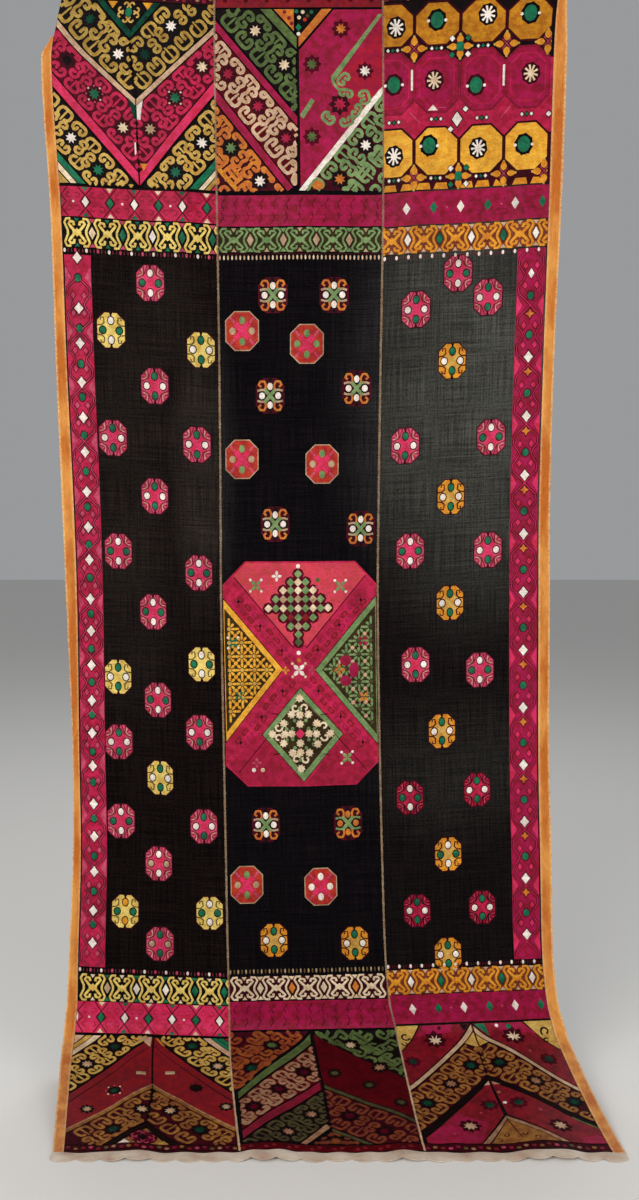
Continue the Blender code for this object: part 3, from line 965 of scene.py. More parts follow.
def blossom(work, across, down, kind, ends, sides):
    """An eight-sided field motif: four buds round a cross whose arms end in open hands."""
    wide, tall, ground, cross, curls, hand, finger, tick, edge, rim = BLOSSOM_ROWS[kind]
    work.fill(octagon(across, down, wide + 1.8, tall + 1.8, wide * 0.58), edge, gap=0.0, layer=-1)
    work.fill(octagon(across, down, wide, tall, wide * 0.55), ground, gap=0.2)
    work.on = 0
    for sx, sy in CORNERS:
        def draw(places, thread, width, rise):
            work.line([(across + sx * x * wide / 25.5, down + sy * y * tall / 32.0) for x, y in places],
                      thread, width, rise)

        draw(((0, 0), (10.5, 13)), cross, 12.0 if tick else 7.6, 0.5)
        if kind in ("pink", "cerise"):
            for spot in ((25.5, 8.0), (25.0, 16.0), (20.5, 24.5), (12.5, 31.0), (5.0, 31.5)):
                draw(((11.5, 14.5), spot), curls, 2.6, FLAT_LINE)
            for spot in ((22.0, 12.0), (15.5, 26.0)):
                draw(((14.0, 16.0), spot), "buff" if kind == "pink" else "rose", 2.0, 0.5)
        elif curls:
            draw(((25.5, 8.5), (17, 9.5), (12.5, 14), (13.5, 23), (19, 23), (19, 18)), curls, 3.2,
                 FLAT_LINE)
        if hand:
            draw(((9, 11), (7.5, 20), (11, 27.5), (18.5, 27), (21.5, 21), (17, 17)), hand, 4.6, 0.45)
            draw(((9, 11), (17, 11.5), (24, 9.5)), finger, 4.6, 0.4)
        if tick:
            draw(((12, 14), (19.5, 23.5)), tick, 5.0, 0.6)
    for side in (-1, 1):
        if not tick:
            tooth(work, across, down, side, tall + 1, 11, 3.6,
                  "maroon" if ground in ("rose", "ruby") else "dark", 0.3)
        work.oval(across, down + side * tall * 0.56, 6.0, 7.8, ends, rim)
        work.oval(across + side * wide * 0.60, down, 6.4, 7.2, sides, rim)
    work.on = None


def blossoms(work, rows):
    for kind, ends, sides, spots in rows:
        for across, down in spots:
            blossom(work, across, down, kind, ends, sides)


def bead(work, across, down, thread, size=3.0, rise=0.5):
    work.pad(ring((across, down), size, size, 6, pi / 6), thread, rise=rise)


def cross_flower(work, across, down, thread, tips, size=12.0, turn=45):
    """Four petals, with a bead at each tip."""
    for angle in range(turn, turn + 360, 90):
        x, y = cos(radians(angle)), sin(radians(angle))
        shape = [(across + (x * p - y * q) * size, down + (y * p + x * q) * size)
                 for p, q in ((0.02, 0.0), (0.52, 0.32), (1.0, 0.14), (1.0, -0.14), (0.52, -0.32))]
        work.pad(shape, thread, radians(angle), 0.5)
        if tips:
            bead(work, across + x * size * 1.30, down + y * size * 1.30, tips, 3.0)


# ---------------------------------------------------------------- bands across a strip

def in_turn(first, pitch, count, threads):
    """Places across a strip at one pitch, each with the next of the threads."""
    return [(first + pitch * i, threads[i % len(threads)]) for i in range(count)]


# A small dark stitch: millimetres across, and share of the band's half height
DARK_MARK = ((-5.5, 0.78), (1.5, 0.42), (-2.0, 0.10))


def lattice_band(work, top, foot, ground, curls, diamonds, crosses=None, small=None):
    """A filled band of blocky units, told apart by dark crosses with a diamond on each."""
    width = work.strip.width / MM
    whole = box(0, top, width, foot)
    bounds = planes(whole, 1.2)
    middle, half = (top + foot) / 2, (foot - top) / 2
    work.fill(whole, ground)
    work.on = 0
    for i, (x, thread) in enumerate(diamonds):
        pitch = diamonds[1][0] - diamonds[0][0]
        between = x + pitch / 2
        if crosses:
            for sx in (-1, 1):
                fork = x + sx * pitch * 0.30
                work.line([(fork, top), (x, middle - 12), (x + sx * 10, middle), (x, middle + 12),
                           (fork, foot)], crosses, 2.2, FLAT_LINE, bounds)
        for sx, sy in CORNERS:
            centre = (between + sx * 8.0, middle + sy * half * 0.48)
            work.line(hook(centre, 6.8, atan2(-sy, -sx), sx * sy, 280), curls, 2.4, FLAT_LINE, bounds)
        for sy in (-1, 1):
            if not thread:
                mark = [(x + sy * u, middle + sy * half * v) for u, v in DARK_MARK]
                work.line(mark, "wine", 1.9, FLAT_LINE, bounds)
            elif small and 6 < x < width - 6:
                tooth(work, x, middle, sy, half - 1, 8.5, 6.5, small[i % 2])
        if thread and 0 < x < width:
            work.diamond(x, middle, min(7.4, x, width - x), 11.5, thread, crosses)
            if 4 < between < width - 4 and i % 2 == 0:
                bead(work, between, middle, "rose" if crosses is None else "white", 2.6)
    work.on = None


def tooth(work, across, middle, side, reach, tall, wide, thread, rise=PAD_RISE):
    """A small triangle that points inward from its base, which lies so far from the middle."""
    base = middle + side * reach
    work.pad([(across - wide, base), (across, base - side * tall), (across + wide, base)], thread,
             rise=rise)


# Places on a unit, as shares of its half width and half height
OUTER_LINE = ((0.46, -0.93), (0.80, -0.92), (0.95, -0.66), (0.70, -0.14), (0.70, 0.14), (0.95, 0.66),
              (0.80, 0.92), (0.46, 0.93))
CURLED_ARM = ((0.0, 0.0), (0.24, -0.14), (0.62, -0.58), (0.50, -0.74), (0.24, -0.70), (0.20, -0.46))


def unit(work, x, middle, wide, half, thread, width, bounds):
    """A cross whose arms end in curls, between two bent lines."""
    if width < x < work.strip.width / MM - width:
        work.diamond(x, middle, wide * 0.36, half * 0.30, thread, None)
    for sx, sy in CORNERS:
        if sy > 0:
            work.line([(x + sx * wide * a, middle + half * b) for a, b in OUTER_LINE], thread,
                      width * 0.86, bounds=bounds)
        work.line([(x + sx * wide * a, middle + sy * half * b) for a, b in CURLED_ARM], thread, width,
                  bounds=bounds)


def unit_row(work, top, foot, thread, ground, first, pitch, spacers, small, width=5.4):
    """Hourglass units in a row, with an upright diamond between each two."""
    edge = work.strip.width / MM
    whole = box(0, top, edge, foot)
    bounds = planes(whole, 0.8)
    middle, half = (top + foot) / 2, (foot - top) / 2
    work.fill(whole, ground)
    work.on = 0
    for i in range(-1, 7):
        x = first + i * pitch
        if not -pitch * 0.4 < x < edge + pitch * 0.4:
            continue
        unit(work, x, middle, pitch * 0.44, half, thread, width, bounds)
        between = x + pitch / 2
        for place, colour, reach in ((x, small[0], 5.0), (between, small[1], 6.5)):
            for side in (-1, 1):
                if reach + 1 < place < edge - reach - 1:
                    tooth(work, place, middle, side, half - 0.8, 7.7, reach, colour)
        if 7 < between < edge - 7:
            work.diamond(between, middle, 7.2, 13.0, spacers[(i + 1) % len(spacers)])
    work.on = None


def tick_row(work, down, pitch, threads, wide=2.8, tall=4.4, first=4.0, between="rose", thin=2):
    """Small upright stitches in a row, with thinner ones between."""
    width = work.strip.width / MM
    for i in range(int((width - first) / pitch) + 1):
        x = first + i * pitch
        work.oval(x, down, wide, tall, threads[i % len(threads)], None)
        for k in range(thin):
            place = x + pitch * (k + 1) / (thin + 1)
            if place < width - 2:
                work.line([(place, down - tall * 0.6), (place, down + tall * 0.8)], between, 1.5, 0.3)


FLOWER_LINE_THREADS = ("crimson", "bronze", "red", "rose", "crimson", "olive", "clay")


def flower_line(work, top, foot, thread="maroon", flowers=FLOWER_LINE_THREADS):
    """A dark red line with tiny flowers at the strip's end."""
    width = work.strip.width / MM
    work.fill(box(0, top, width, foot), thread)
    work.on = 0
    for i in range(int(width / 13)):
        down = (top + foot) / 2 + (2.0, -2.5, 0.0)[i % 3]
        bead(work, 7 + 13 * i, down, flowers[i % len(flowers)], 4.6)
    work.on = None


# ---------------------------------------------------------------- the left strip

# Field blossoms: kind, thread of the end buds, thread of the side buds, then where they lie
LEFT_BLOSSOMS = (
    ("pink", "white", "emerald", ((168, 535), (88, 1051), (255, 1085), (158, 1166), (165, 1338),
        (84, 1581))),
    ("yellow", "white", "emerald", ((89, 628), (258, 1263), (265, 1757))),
    ("yellow", "emerald", "white", ((265, 657), (83, 1296), (167, 1492))),
    ("pink", "emerald", "white", ((172, 730), (85, 833), (254, 838), (166, 941), (83, 1424), (251, 1397),
        (256, 1583))),
    ("pink", "white", "tan", ((161, 1663),)),
    ("yellow", "gold", "emerald", ((93, 1761),)),
    ("pink", "emerald", "tan", ((164, 1824),)),
)
ARM_LEFT = (141, 138)
ARM_RIGHT = (-143, 140)
FOOT_MIRROR = 2370.0  # places down the lower end block are counted up from here

# The threads and small patches that tell the left strip's two ends apart
TOP_END_LOOK = {
    "arm": "cerise", "arm ground": "wine", "stripe": "pink", "chevron": "bottle", "line": "buff",
    "inner curls": "yellow", "outer curls": "straw", "inner ground": "dark", "heart ground": "dark",
    "bud": ("straw", "emerald"), "slivers": ("gold", "gold"),
    "corners": ("emerald", "cream", "yellow", "emerald", "cream", "yellow", "pink"),
    "patches": (
        ("bottle", ((138, 190), (152, 205), (152, 232), (149, 232))),
        ("white", ((154, 205), (166, 194), (160, 232), (154, 232))),
        ("white", ((147, 272), (150, 272), (150, 296), (147, 296))),
        ("gold", ((156, 312), (170, 312), (162, 326))),
    ),
}
FOOT_END_LOOK = {
    "arm": "red", "arm ground": None, "stripe": "red", "chevron": "dark", "line": "bronze",
    "inner curls": "bronze", "outer curls": "straw", "inner ground": "maroon", "heart ground": "bronze",
    "bud": ("rose", "dark"), "slivers": ("white", "yellow"),
    "corners": ("cream", "straw", "buff", "buff", "emerald", "emerald", "carmine"),
    "patches": (
        ("buff", ((124, 354), (150, 354), (148, 322))),
        ("orange", ((156, 352), (162, 352), (176, 330), (172, 328))),
        ("tan", ((123, 233), (141, 233), (141, 243), (123, 243))),
        ("tan", ((177, 240), (195, 240), (195, 250), (177, 250))),
    ),
}


def left_block(work, look, tops, mids, corners):
    """The nested V shapes of the left strip's end, from its end line inward."""
    flower_line(work, -4, 13)
    chevron, line, stripe, bars = look["chevron"], look["line"], look["stripe"], look["corners"]
    shapes(work, (
        (look["heart ground"], ((88, 14), (178, 14), (142, 64))),
        (chevron, ((68, 14), (84, 14), (142, 66), (142, 82))),
        (chevron, ((180, 14), (196, 14), (142, 82), (142, 66))),
        (line, ((0, 53), (153, 193), (153, 206), (0, 66))),
        (line, ((153, 193), (300, 52), (300, 65), (153, 206))),
        (stripe, ((0, 151), (152, 329), (152, 354), (0, 176))),
        (stripe, ((154, 329), (300, 151), (300, 176), (154, 354))),
        (bars[0], ((0, 296), (52, 356), (36, 356), (0, 314))),
        (bars[1], ((0, 315), (35, 356), (22, 356), (0, 331))),
        (bars[2], ((0, 333), (20, 356), (0, 356))),
        (bars[3], ((300, 296), (248, 356), (264, 356), (300, 314))),
        (bars[4], ((300, 315), (265, 356), (276, 356), (300, 328))),
        (bars[5], ((300, 329), (277, 356), (288, 356), (300, 342))),
        (bars[6], ((300, 343), (289, 356), (300, 356))),
    ))
    work.on = 0
    curl, heart = look["bud"]
    if look["heart ground"] != "dark":
        work.pad(ring((135, 34), 25, 22, 12), "wine", 0.2, 0.3, "dark")
    for x, thread in zip((102, 170), look["slivers"]):
        work.pad([(x - 10, 15), (x + 10, 15), (x + 1, 28)], thread)
    for i, spot in enumerate(ring((135, 34), 17, 15, 8, radians(22))):
        work.line(hook(spot, 6.2, radians(45 * i + 202), (-1) ** i, 260), curl, 3.8)
    work.oval(135, 34, 7.5, 10, heart)
    work.on = None
    inner, outer, ground = look["inner curls"], look["outer curls"], look["inner ground"]
    arm, gaps = look["arm"], look["arm ground"]
    fields(work, (
        (inner, ground, ARM_LEFT, ((0, 14), (66, 14), (141, 84), (151, 190), (0, 52)), tops[0]),
        (inner, ground, ARM_RIGHT, ((198, 14), (300, 14), (300, 50), (157, 190), (143, 84)), tops[1]),
        (arm, gaps, ARM_LEFT, ((0, 66), (152, 206), (152, 329), (0, 150)), mids[0]),
        (arm, gaps, ARM_RIGHT, ((154, 206), (300, 66), (300, 150), (154, 329)), mids[1]),
        (outer, "dark", ARM_LEFT, ((0, 180), (148, 356), (54, 356), (0, 293)), corners[0]),
        (outer, "dark", ARM_RIGHT, ((300, 180), (158, 356), (246, 356), (300, 293)), corners[1]),
    ))
    work.on = 0
    work.line([(153, 190), (153, 354)], "dark", 2.4, FLAT_LINE)
    if gaps is None:
        for x in (0, 300):
            work.line([(x, 65), (153, 205)], "clay", 3.4)
    for thread, points in look["patches"]:
        work.pad(list(points), thread, 0.6)
    for x, y, colour in (*mids[0], *mids[1]):
        if colour in ("emerald", "bottle"):
            for k, spot in enumerate(ring((x, y), 15, 15, 8)):
                bead(work, *spot, ("rose", "cream")[k % 2], 2.2, 0.7)
    work.on = None


# The border's wave over one cell: share of the way down, share of the half width out
WAVE = ((0.0, 0.0), (0.09, 0.34), (0.20, 0.80), (0.32, 0.86), (0.44, 0.52), (0.50, 0.40),
        (0.56, 0.52), (0.68, 0.86), (0.80, 0.80), (0.91, 0.34), (1.0, 0.0))


def border_flower(work, across, down, thread, edges):
    """One flower of a side border, in the shape that goes with its thread."""
    if thread == "white":
        for size, tall, colour, rise in ((12.5, 15.0, edges, 0.3), (10.0, 12.5, thread, 0.7)):
            work.pad(ring((across, down), size, tall, 8, 0.0, 0.66), colour, rise=rise)
    elif thread == "orange":
        for size, colour, rise in ((13.5, edges, 0.3), (10.0, thread, 0.6)):
            work.pad(ring((across, down), size, size, 8, 0.0, 0.5), colour, 0.6, rise)
    elif thread == "tall":
        work.diamond(across, down, 6.4, 10.5, "white", edges)
    else:
        work.oval(across, down, 6.8, 8.2, thread, edges)


def side_border(work, left, right, top, foot, ground, edges, bright, flowers, start, cell):
    """A filled border of two-lobed waves down one side, with a row of flowers in them."""
    whole = box(left, top, right, foot)
    bounds = planes(whole, 1.0)
    middle, half = (left + right) / 2, (right - left) / 2
    work.fill(whole, ground)
    work.on = 0
    for i in range(-1, int((foot - start) / cell) + 1):
        at = start + cell * i
        for side in (-1, 1):
            edge = middle + side * (half - 1.0)
            if top + 10 < at < foot - 10:
                work.pad([(edge, at - 22), (edge, at + 22), (edge - side * 13, at)], bright, 0.4, 0.2,
                         edges)
            for thread, width, rise in ((edges, 5.8, 0.36), (bright, 2.8, 0.60)):
                work.line([(middle + side * half * out, at + cell * share) for share, out in WAVE],
                          thread, width, rise, bounds)
            for share in (0.335, 0.665):
                y = at + cell * share
                if top + 6 < y < foot - 6:
                    work.diamond(middle + side * half * 0.40, y, 5.4, 7.6, bright, edges)
    for down, thread in flowers:
        border_flower(work, middle, down, thread, edges)
    work.on = None


# Where the flowers of the left border lie, white and green in turn
LEFT_FLOWERS = (
    495, 533, 590, 628, 656, 695, 730, 758, 797, 831, 863, 900, 939, 968, 1007, 1041, 1070, 1105, 1146,
    1175, 1208, 1243, 1275, 1308, 1344, 1372, 1408, 1445, 1473, 1505, 1548, 1577, 1613, 1652, 1683, 1722,
    1761, 1789, 1827,
)


def left_needlework():
    work = Needlework(LEFT)
    left_block(
        work, TOP_END_LOOK,
        (((63, 50, "bottle"), (123, 111, "white")), ((218, 55, "white"), (172, 110, "bottle"))),
        (((29, 127, "dark"), (77, 187, "emerald"), (127, 247, "cream")),
         ((277, 127, "cream"), (226, 187, "emerald"), (178, 247, "tan"))),
        (((29, 271, "white"), (76, 328, "emerald")), ((274, 268, "white"), (223, 326, "emerald"))),
    )
    work.line([(0, 359), (300, 359)], "dark", 2.6)
    lattice_band(work, 361, 418, "cerise", "crimson", in_turn(2, 46.5, 7, ("emerald", "white")),
                 "maroon", ("cream", "emerald"))
    unit_row(work, 420, 475, "primrose", "dark", 30, 58,
             ("emerald", "cream", "emerald", "white", "emerald"), ("emerald", "rose"))
    tick_row(work, 481, 21.5, ("white", "rose"))
    flowers = [(down, ("white", "emerald")[i % 2]) for i, down in enumerate(LEFT_FLOWERS)]
    side_border(work, 2, 55, 489, 1876, "cerise", "wine", "rose", flowers, 635, 104)
    blossoms(work, LEFT_BLOSSOMS)
    tick_row(work, 1882, 21.5, ("white", "rose"))
    unit_row(work, 1890, 1945, "primrose", "dark", 30, 58,
             ("emerald", "tan", "white", "white", "emerald"), ("cream", "emerald"))
    lattice_band(work, 1946, 2009, "pink", "cerise", in_turn(2, 46.5, 7, ("white", "emerald")),
                 "maroon", ("emerald", "cream"))
    work.fill(box(0, 2375, 300, 2380), "maroon")
    work.mirror = FOOT_MIRROR
    left_block(
        work, FOOT_END_LOOK,
        (((83, 63, "bottle"), (134, 124, "buff")), ((235, 63, "bottle"), (184, 124, "buff"))),
        (((35, 130, "tan"), (83, 187, "bottle")), ((285, 137, "tan"), (233, 197, "dark"))),
        (((30, 271, "buff"), (80, 325, "bottle")), ((276, 268, "buff"), (228, 332, "bottle"))),
    )
    work.mirror = None
    return work


# ---------------------------------------------------------------- the centre strip

CENTRE_BLOSSOMS = (
    ("white", "white", "white", ((105, 552), (223, 552), (99, 743), (269, 730), (109, 990), (280, 1001),
        (82, 1581))),
    ("red", "leaf", "tan", ((45, 619), (43, 864), (202, 875), (41, 1700))),
    ("red", "leaf", "leaf", ((171, 645),)),
    ("green", "orange", "orange", ((248, 1581),)),
    ("red", "white", "white", ((190, 1706),)),
    ("orange", "emerald", "white", ((93, 1813), (255, 1823))),
)


def centre_top_block(work):
    """The centre strip's upper end: slanted bands that step down from both corners."""
    flower_line(work, -4, 18, "red", ("blood", "oxblood", "crimson"))
    shapes(work, (
        ("moss", ((84, 20), (106, 20), (154, 72), (154, 95))),
        ("orange", ((200, 20), (220, 20), (156, 92), (156, 72))),
        ("magenta", ((0, 38), (154, 218), (154, 237), (0, 57))),
        ("magenta", ((0, 165), (145, 350), (134, 358), (0, 190))),
    ))
    fields(work, (
        ("moss", "dark", (154, 180), ((0, 20), (82, 20), (152, 96), (152, 212), (0, 35)),
         ((76, 60, "cream"), (130, 123, "cream"))),
        ("orange", None, (1, 0), ((109, 20), (149, 20), (149, 63)), ()),
        ("dark", None, (1, 0), ((151, 20), (198, 20), (156, 70)), ()),
        ("buff", "oxblood", (145, 180), ((0, 58), (154, 238), (145, 349), (0, 164)),
         ((25, 139, "carmine"), (80, 199, "carmine"), (132, 258, "carmine"))),
        ("orange", "maroon", (134, 170), ((0, 192), (132, 357), (0, 357)),
         ((28, 276, "leaf"), (82, 338, "white"))),
        ("magenta", None, (-150, 185), ((222, 21), (315, 21), (315, 164), (158, 352), (157, 96)), ()),
        ("leaf", "maroon", (-150, 185), ((315, 174), (315, 357), (162, 357)),
         ((282, 272, "white"), (233, 335, "orange"))),
    ))
    work.fill(((223, 152), (315, 46), (315, 162), (246, 244)), "ruby", layer=1)
    work.fill(((0, 303), (46, 356), (34, 356), (0, 317)), "gold", layer=1)
    work.fill(((306, 30), (315, 30), (225, 152), (216, 146)), "leaf", layer=2)
    work.fill(((158, 216), (180, 184), (187, 190), (165, 224)), "leaf", layer=1)
    work.fill(((304, 172), (315, 163), (315, 177), (168, 357), (154, 357)), "white", layer=1)
    work.on = 1
    for x, y, colour in ((236, 57, "orange"), (182, 122, "moss"), (181, 256, "moss"),
                         (281, 135, "white")):
        work.star(x, y, colour, 11.5, "wine")
    work.star(234, 196, "cerise", 13.5, "maroon")
    for x, y, turn, deep in ((204, 230, -48, 23), (250, 238, -108, 21), (274, 213, -150, 20),
                             (292, 180, 165, 25), (233, 142, 45, 22), (247, 166, 100, 20)):
        horns(work, (x, y), radians(turn), 15.5, deep, "leaf", 6.0)
    work.line([(220, 147), (223, 158), (231, 168), (240, 170)], "leaf", 5.6)
    work.pad(ring((192, 346), 12, 9, 8), "orange", 0.6)
    work.line(hook((192, 346), 6.0, 0.0, 1, 270), "maroon", 2.4, 0.9)
    work.line([(156, 72), (156, 356)], "dark", 2.4, FLAT_LINE)
    work.on = 0
    for y, deep, thread in ((168, 15, "moss"), (196, 12, "moss"), (283, 13, "buff"), (311, 14, "buff"),
                            (335, 11, "buff")):
        horns(work, (153, y), pi, 13.0, deep, thread, 5.2)
    work.diamond(157, 54, 6.0, 8.0, "emerald", "dark")
    for x, y, thread in (
        (157, 66, "white"), (165, 26, "cream"), (153, 25, "emerald"), (181, 26, "emerald"),
        (169, 40, "vermilion"), (158, 36, "cream"), (131, 26, "red"), (139, 37, "red"),
        (144, 47, "red"), (144, 28, "gold"), (174, 33, "fern"),
    ):
        bead(work, x, y, thread, 4.0)
    work.on = None


def centre_foot_block(work):
    """The centre strip's lower end, a half to each side of its middle line."""
    shapes(work, (
        ("moss", ((152, 2004), (152, 2031), (8, 2212), (8, 2190))),
        ("crimson", ((160, 2150), (160, 2176), (8, 2340), (8, 2314))),
        ("fern", ((164, 2160), (315, 2278), (315, 2290), (164, 2172))),
    ))
    fields(work, (
        ("copper", "maroon", (-150, 185), ((0, 1999), (150, 1999), (7, 2184), (0, 2184)),
         ((78, 2040, "moss"), (38, 2115, "bottle"))),
        ("clay", "oxblood", (-150, 185), ((153, 2034), (159, 2148), (8, 2311), (10, 2215)),
         ((131, 2121, "wine"), (82, 2183, "wine"), (33, 2240, "wine"))),
        ("fern", "dark", (-150, 185), ((160, 2180), (160, 2282), (104, 2352), (8, 2354), (8, 2344)),
         ((133, 2257, "clay"), (88, 2318, "clay"))),
        ("moss", "dark", (150, 140), ((158, 2000), (315, 2000), (315, 2146)),
         ((225, 2037, "cream"), (270, 2113, "clay"))),
        ("oxblood", None, (150, 120), ((158, 2004), (315, 2150), (315, 2276), (163, 2158)),
         ((187, 2125, "fern"), (245, 2165, "fern"), (295, 2225, "fern"))),
        ("rust", "maroon", (150, 120), ((164, 2174), (315, 2292), (315, 2354), (236, 2354), (165, 2298)),
         ((200, 2262, "wine"), (255, 2315, "wine"))),
        ("rust", "dark", (1, 0), ((126, 2354), (165, 2312), (214, 2354)), ((168, 2341, "copper"),)),
    ))
    work.fill(((156, 2288), (164, 2298), (116, 2355), (106, 2352)), "clay", layer=1)
    work.fill(((165, 2300), (232, 2354), (218, 2354), (165, 2312)), "fern", layer=1)
    work.on = 0
    work.line([(155, 2000), (158, 2160), (162, 2300)], "dark", 2.4, FLAT_LINE)
    work.on = None
    flower_line(work, 2357, 2379, "oxblood", ("blood", "red", "oxblood"))


# Rows of buds in the medallion's crown: down, how many, their threads in turn
CROWN_ROWS = (
    (1087, 1, "leaf", "leaf"), (1103, 3, "leaf", "cream"), (1119, 5, "cream", "leaf"),
    (1136, 7, "leaf", "tan"), (1154, 9, "cream", "leaf"), (1172, 5, "leaf", "red"),
    (1189, 3, "leaf", "tan"), (1205, 1, "leaf", "leaf"), (1220, 1, "moss", "moss"),
)
HEART_FLOWERS = (
    (155, 1330), (138, 1362), (172, 1362), (155, 1381), (122, 1380), (189, 1380), (99, 1401),
    (124, 1401), (188, 1401), (216, 1401), (121, 1419), (190, 1421), (155, 1419), (139, 1438),
    (173, 1438), (156, 1469), (138, 1400), (173, 1400), (155, 1363), (155, 1437),
)
HEART_CURLS = (
    # across, down, turn in degrees
    (146, 1349, 30), (165, 1349, 150), (111, 1388, 0), (111, 1409, 0), (203, 1386, 180),
    (205, 1408, 180), (147, 1451, -30), (166, 1451, 210),
)
HEART_BEADS = (
    (140, 1390), (172, 1390), (140, 1411), (172, 1412), (155, 1350), (155, 1452), (128, 1391),
    (184, 1391), (128, 1412), (184, 1412), (144, 1374), (167, 1374), (144, 1428), (167, 1428),
)
# Small flowers in the medallion: across, down, thread of the petals, thread of the tips, size
CROSS_FLOWERS = (
    (70, 1109, "leaf", "white", 12), (240, 1112, "leaf", "white", 12),
    (249, 1450, "leaf", "white", 12), (23, 1220, "emerald", "white", 11),
    (33, 1324, "emerald", "yellow", 11), (285, 1220, "magenta", "wine", 12),
    (285, 1331, "orange", "wine", 12), (155, 1275, "white", "cream", 14),
    (236, 1276, "orange", None, 12), (112, 1091, "white", None, 10), (128, 1275, "gold", None, 8),
    (182, 1275, "rose", None, 8), (66, 1458, "rose", None, 10),
)
# A rosette's petal: millimetres out from its middle, and to the side
PETAL = ((4.6, 1.45), (1.38, 2.9), (-4.14, 1.45), (-4.14, -1.45), (1.38, -2.9), (4.6, -1.45))


def rosettes(work, shape, spots, petals, heart, between):
    """Close-set flowers of eight petals, with a bud between each two."""
    bounds = planes(shape, 4.5)

    def inside(x, y):
        return all(a * x + b * y < c for a, b, c in bounds)

    for spot in spots:
        for k, (x, y) in enumerate(ring(spot, 8.6, 9.6, 8)):
            if inside(x, y):
                ux, uy = cos(pi / 4 * k), sin(pi / 4 * k)
                petal = [(x + u * ux - v * uy, y + u * uy + v * ux) for u, v in PETAL]
                work.pad(petal, petals, pi / 4 * k, 0.45)
        for x, y, thread, size in ((*spot, heart, 4.4), (spot[0] + 12.5, spot[1] + 13.5, between, 4.6)):
            if inside(x, y):
                bead(work, x, y, thread, size)


def medallion(work):
    """The eight-sided centre piece: crossing bands with a field in each opening."""
    work.fill([(3, 1106), (48, 1061), (270, 1063), (313, 1108), (313, 1460), (268, 1505), (47, 1505),
               (3, 1462)], "cerise", layer=-1)
    shapes(work, (
        ("coral", ((24, 1090), (49, 1064), (269, 1066), (292, 1090), (174, 1226), (140, 1226))),
        ("carmine", ((26, 1482), (10, 1462), (72, 1396), (164, 1500), (160, 1503), (48, 1503))),
        ("carmine", ((290, 1482), (308, 1458), (250, 1396), (164, 1500), (168, 1503), (268, 1503))),
    ))
    work.on = 0
    for path in (((26, 1092), (146, 1232)), ((290, 1092), (170, 1232)), ((30, 1476), (148, 1338)),
                 ((288, 1476), (170, 1338))):
        work.line(path, "wine", 2.2, FLAT_LINE)
    for ends in (((20, 1124), (150, 1268)), ((296, 1124), (164, 1268)), ((20, 1434), (150, 1282)),
                 ((296, 1438), (164, 1282))):
        crossing_band(work, *ends)
    for shape, body, heart, between, edge, inward in (
        (((3, 1131), (124, 1273), (4, 1418)), "marigold", "straw", "marigold", 15, 1),
        (((313, 1129), (186, 1275), (313, 1428)), "leaf", "fern", "buff", 301, -1),
    ):
        work.fill(shape, "maroon", gap=0.0)
        work.fill(shape, body, layer=1, gap=1.6)
        inner = face_up(shape)
        for a, b, c in planes(shape, 12.0):
            inner = half_plane(inner, a, b, c if abs(b) > 0.1 else c + 9.0)
        work.fill(inner, "umber", layer=2, gap=0.0)
        work.on = 2
        spots = [(edge + inward * 25 * i, 1274 + 27 * j) for i in range(5) for j in range(-5, 6)]
        rosettes(work, inner, spots, body, heart, between)
    lower_diamond(work)
    crown(work)
    work.on = 2
    for x, y, wide, tall in ((249, 1258, 13, 12), (266, 1277, 11, 17), (249, 1298, 13, 12)):
        work.pad(ring((x, y), wide, tall, 12), "magenta", 0.5, 0.9, "umber")
    for x, y, body, tips, size in CROSS_FLOWERS:
        cross_flower(work, x, y, body, tips, size, 45 if tips else 0)
    for x, y, thread in ((155, 1072, "white"), (155, 1241, "white"), (194, 1099, "moss"),
                         (194, 1113, "rose"), (60, 1472, "white"), (78, 1472, "cream"),
                         (155, 1256, "orange")):
        bead(work, x, y, thread, 4.6)
    work.on = None


def crossing_band(work, start, stop):
    """Small horns back to back along one arm of the medallion's crossing bands."""
    slope = atan2(stop[1] - start[1], stop[0] - start[0])
    for i in range(1, 9):
        x, y = part_way(start, stop, i / 9)
        for side in (-1, 1):
            horns(work, (x + side * 12 * sin(slope), y - side * 12 * cos(slope)), slope + side * pi / 2,
                  9, 11, ("magenta", "red")[(i + side) % 4 // 2], 3.4)
        if i % 3 == 1:
            work.diamond(x, y, 3.0, 4.0, "dark", None)


def crown(work):
    """Rows of buds that widen and narrow again, in the medallion's upper field."""
    work.on = 0
    for down, count, *threads in CROWN_ROWS:
        places = [155 + 15.0 * (k - (count - 1) / 2) for k in range(count)]
        for x in places:
            work.pad(ring((x, down), 12.5, 12.5, 8), "wine", 0.6, 0.2)
        for k, x in enumerate(places):
            work.pad(ring((x, down), 8.6, 8.8, 8, 0.0, 0.74), threads[k % 2], 0.6, 0.7)


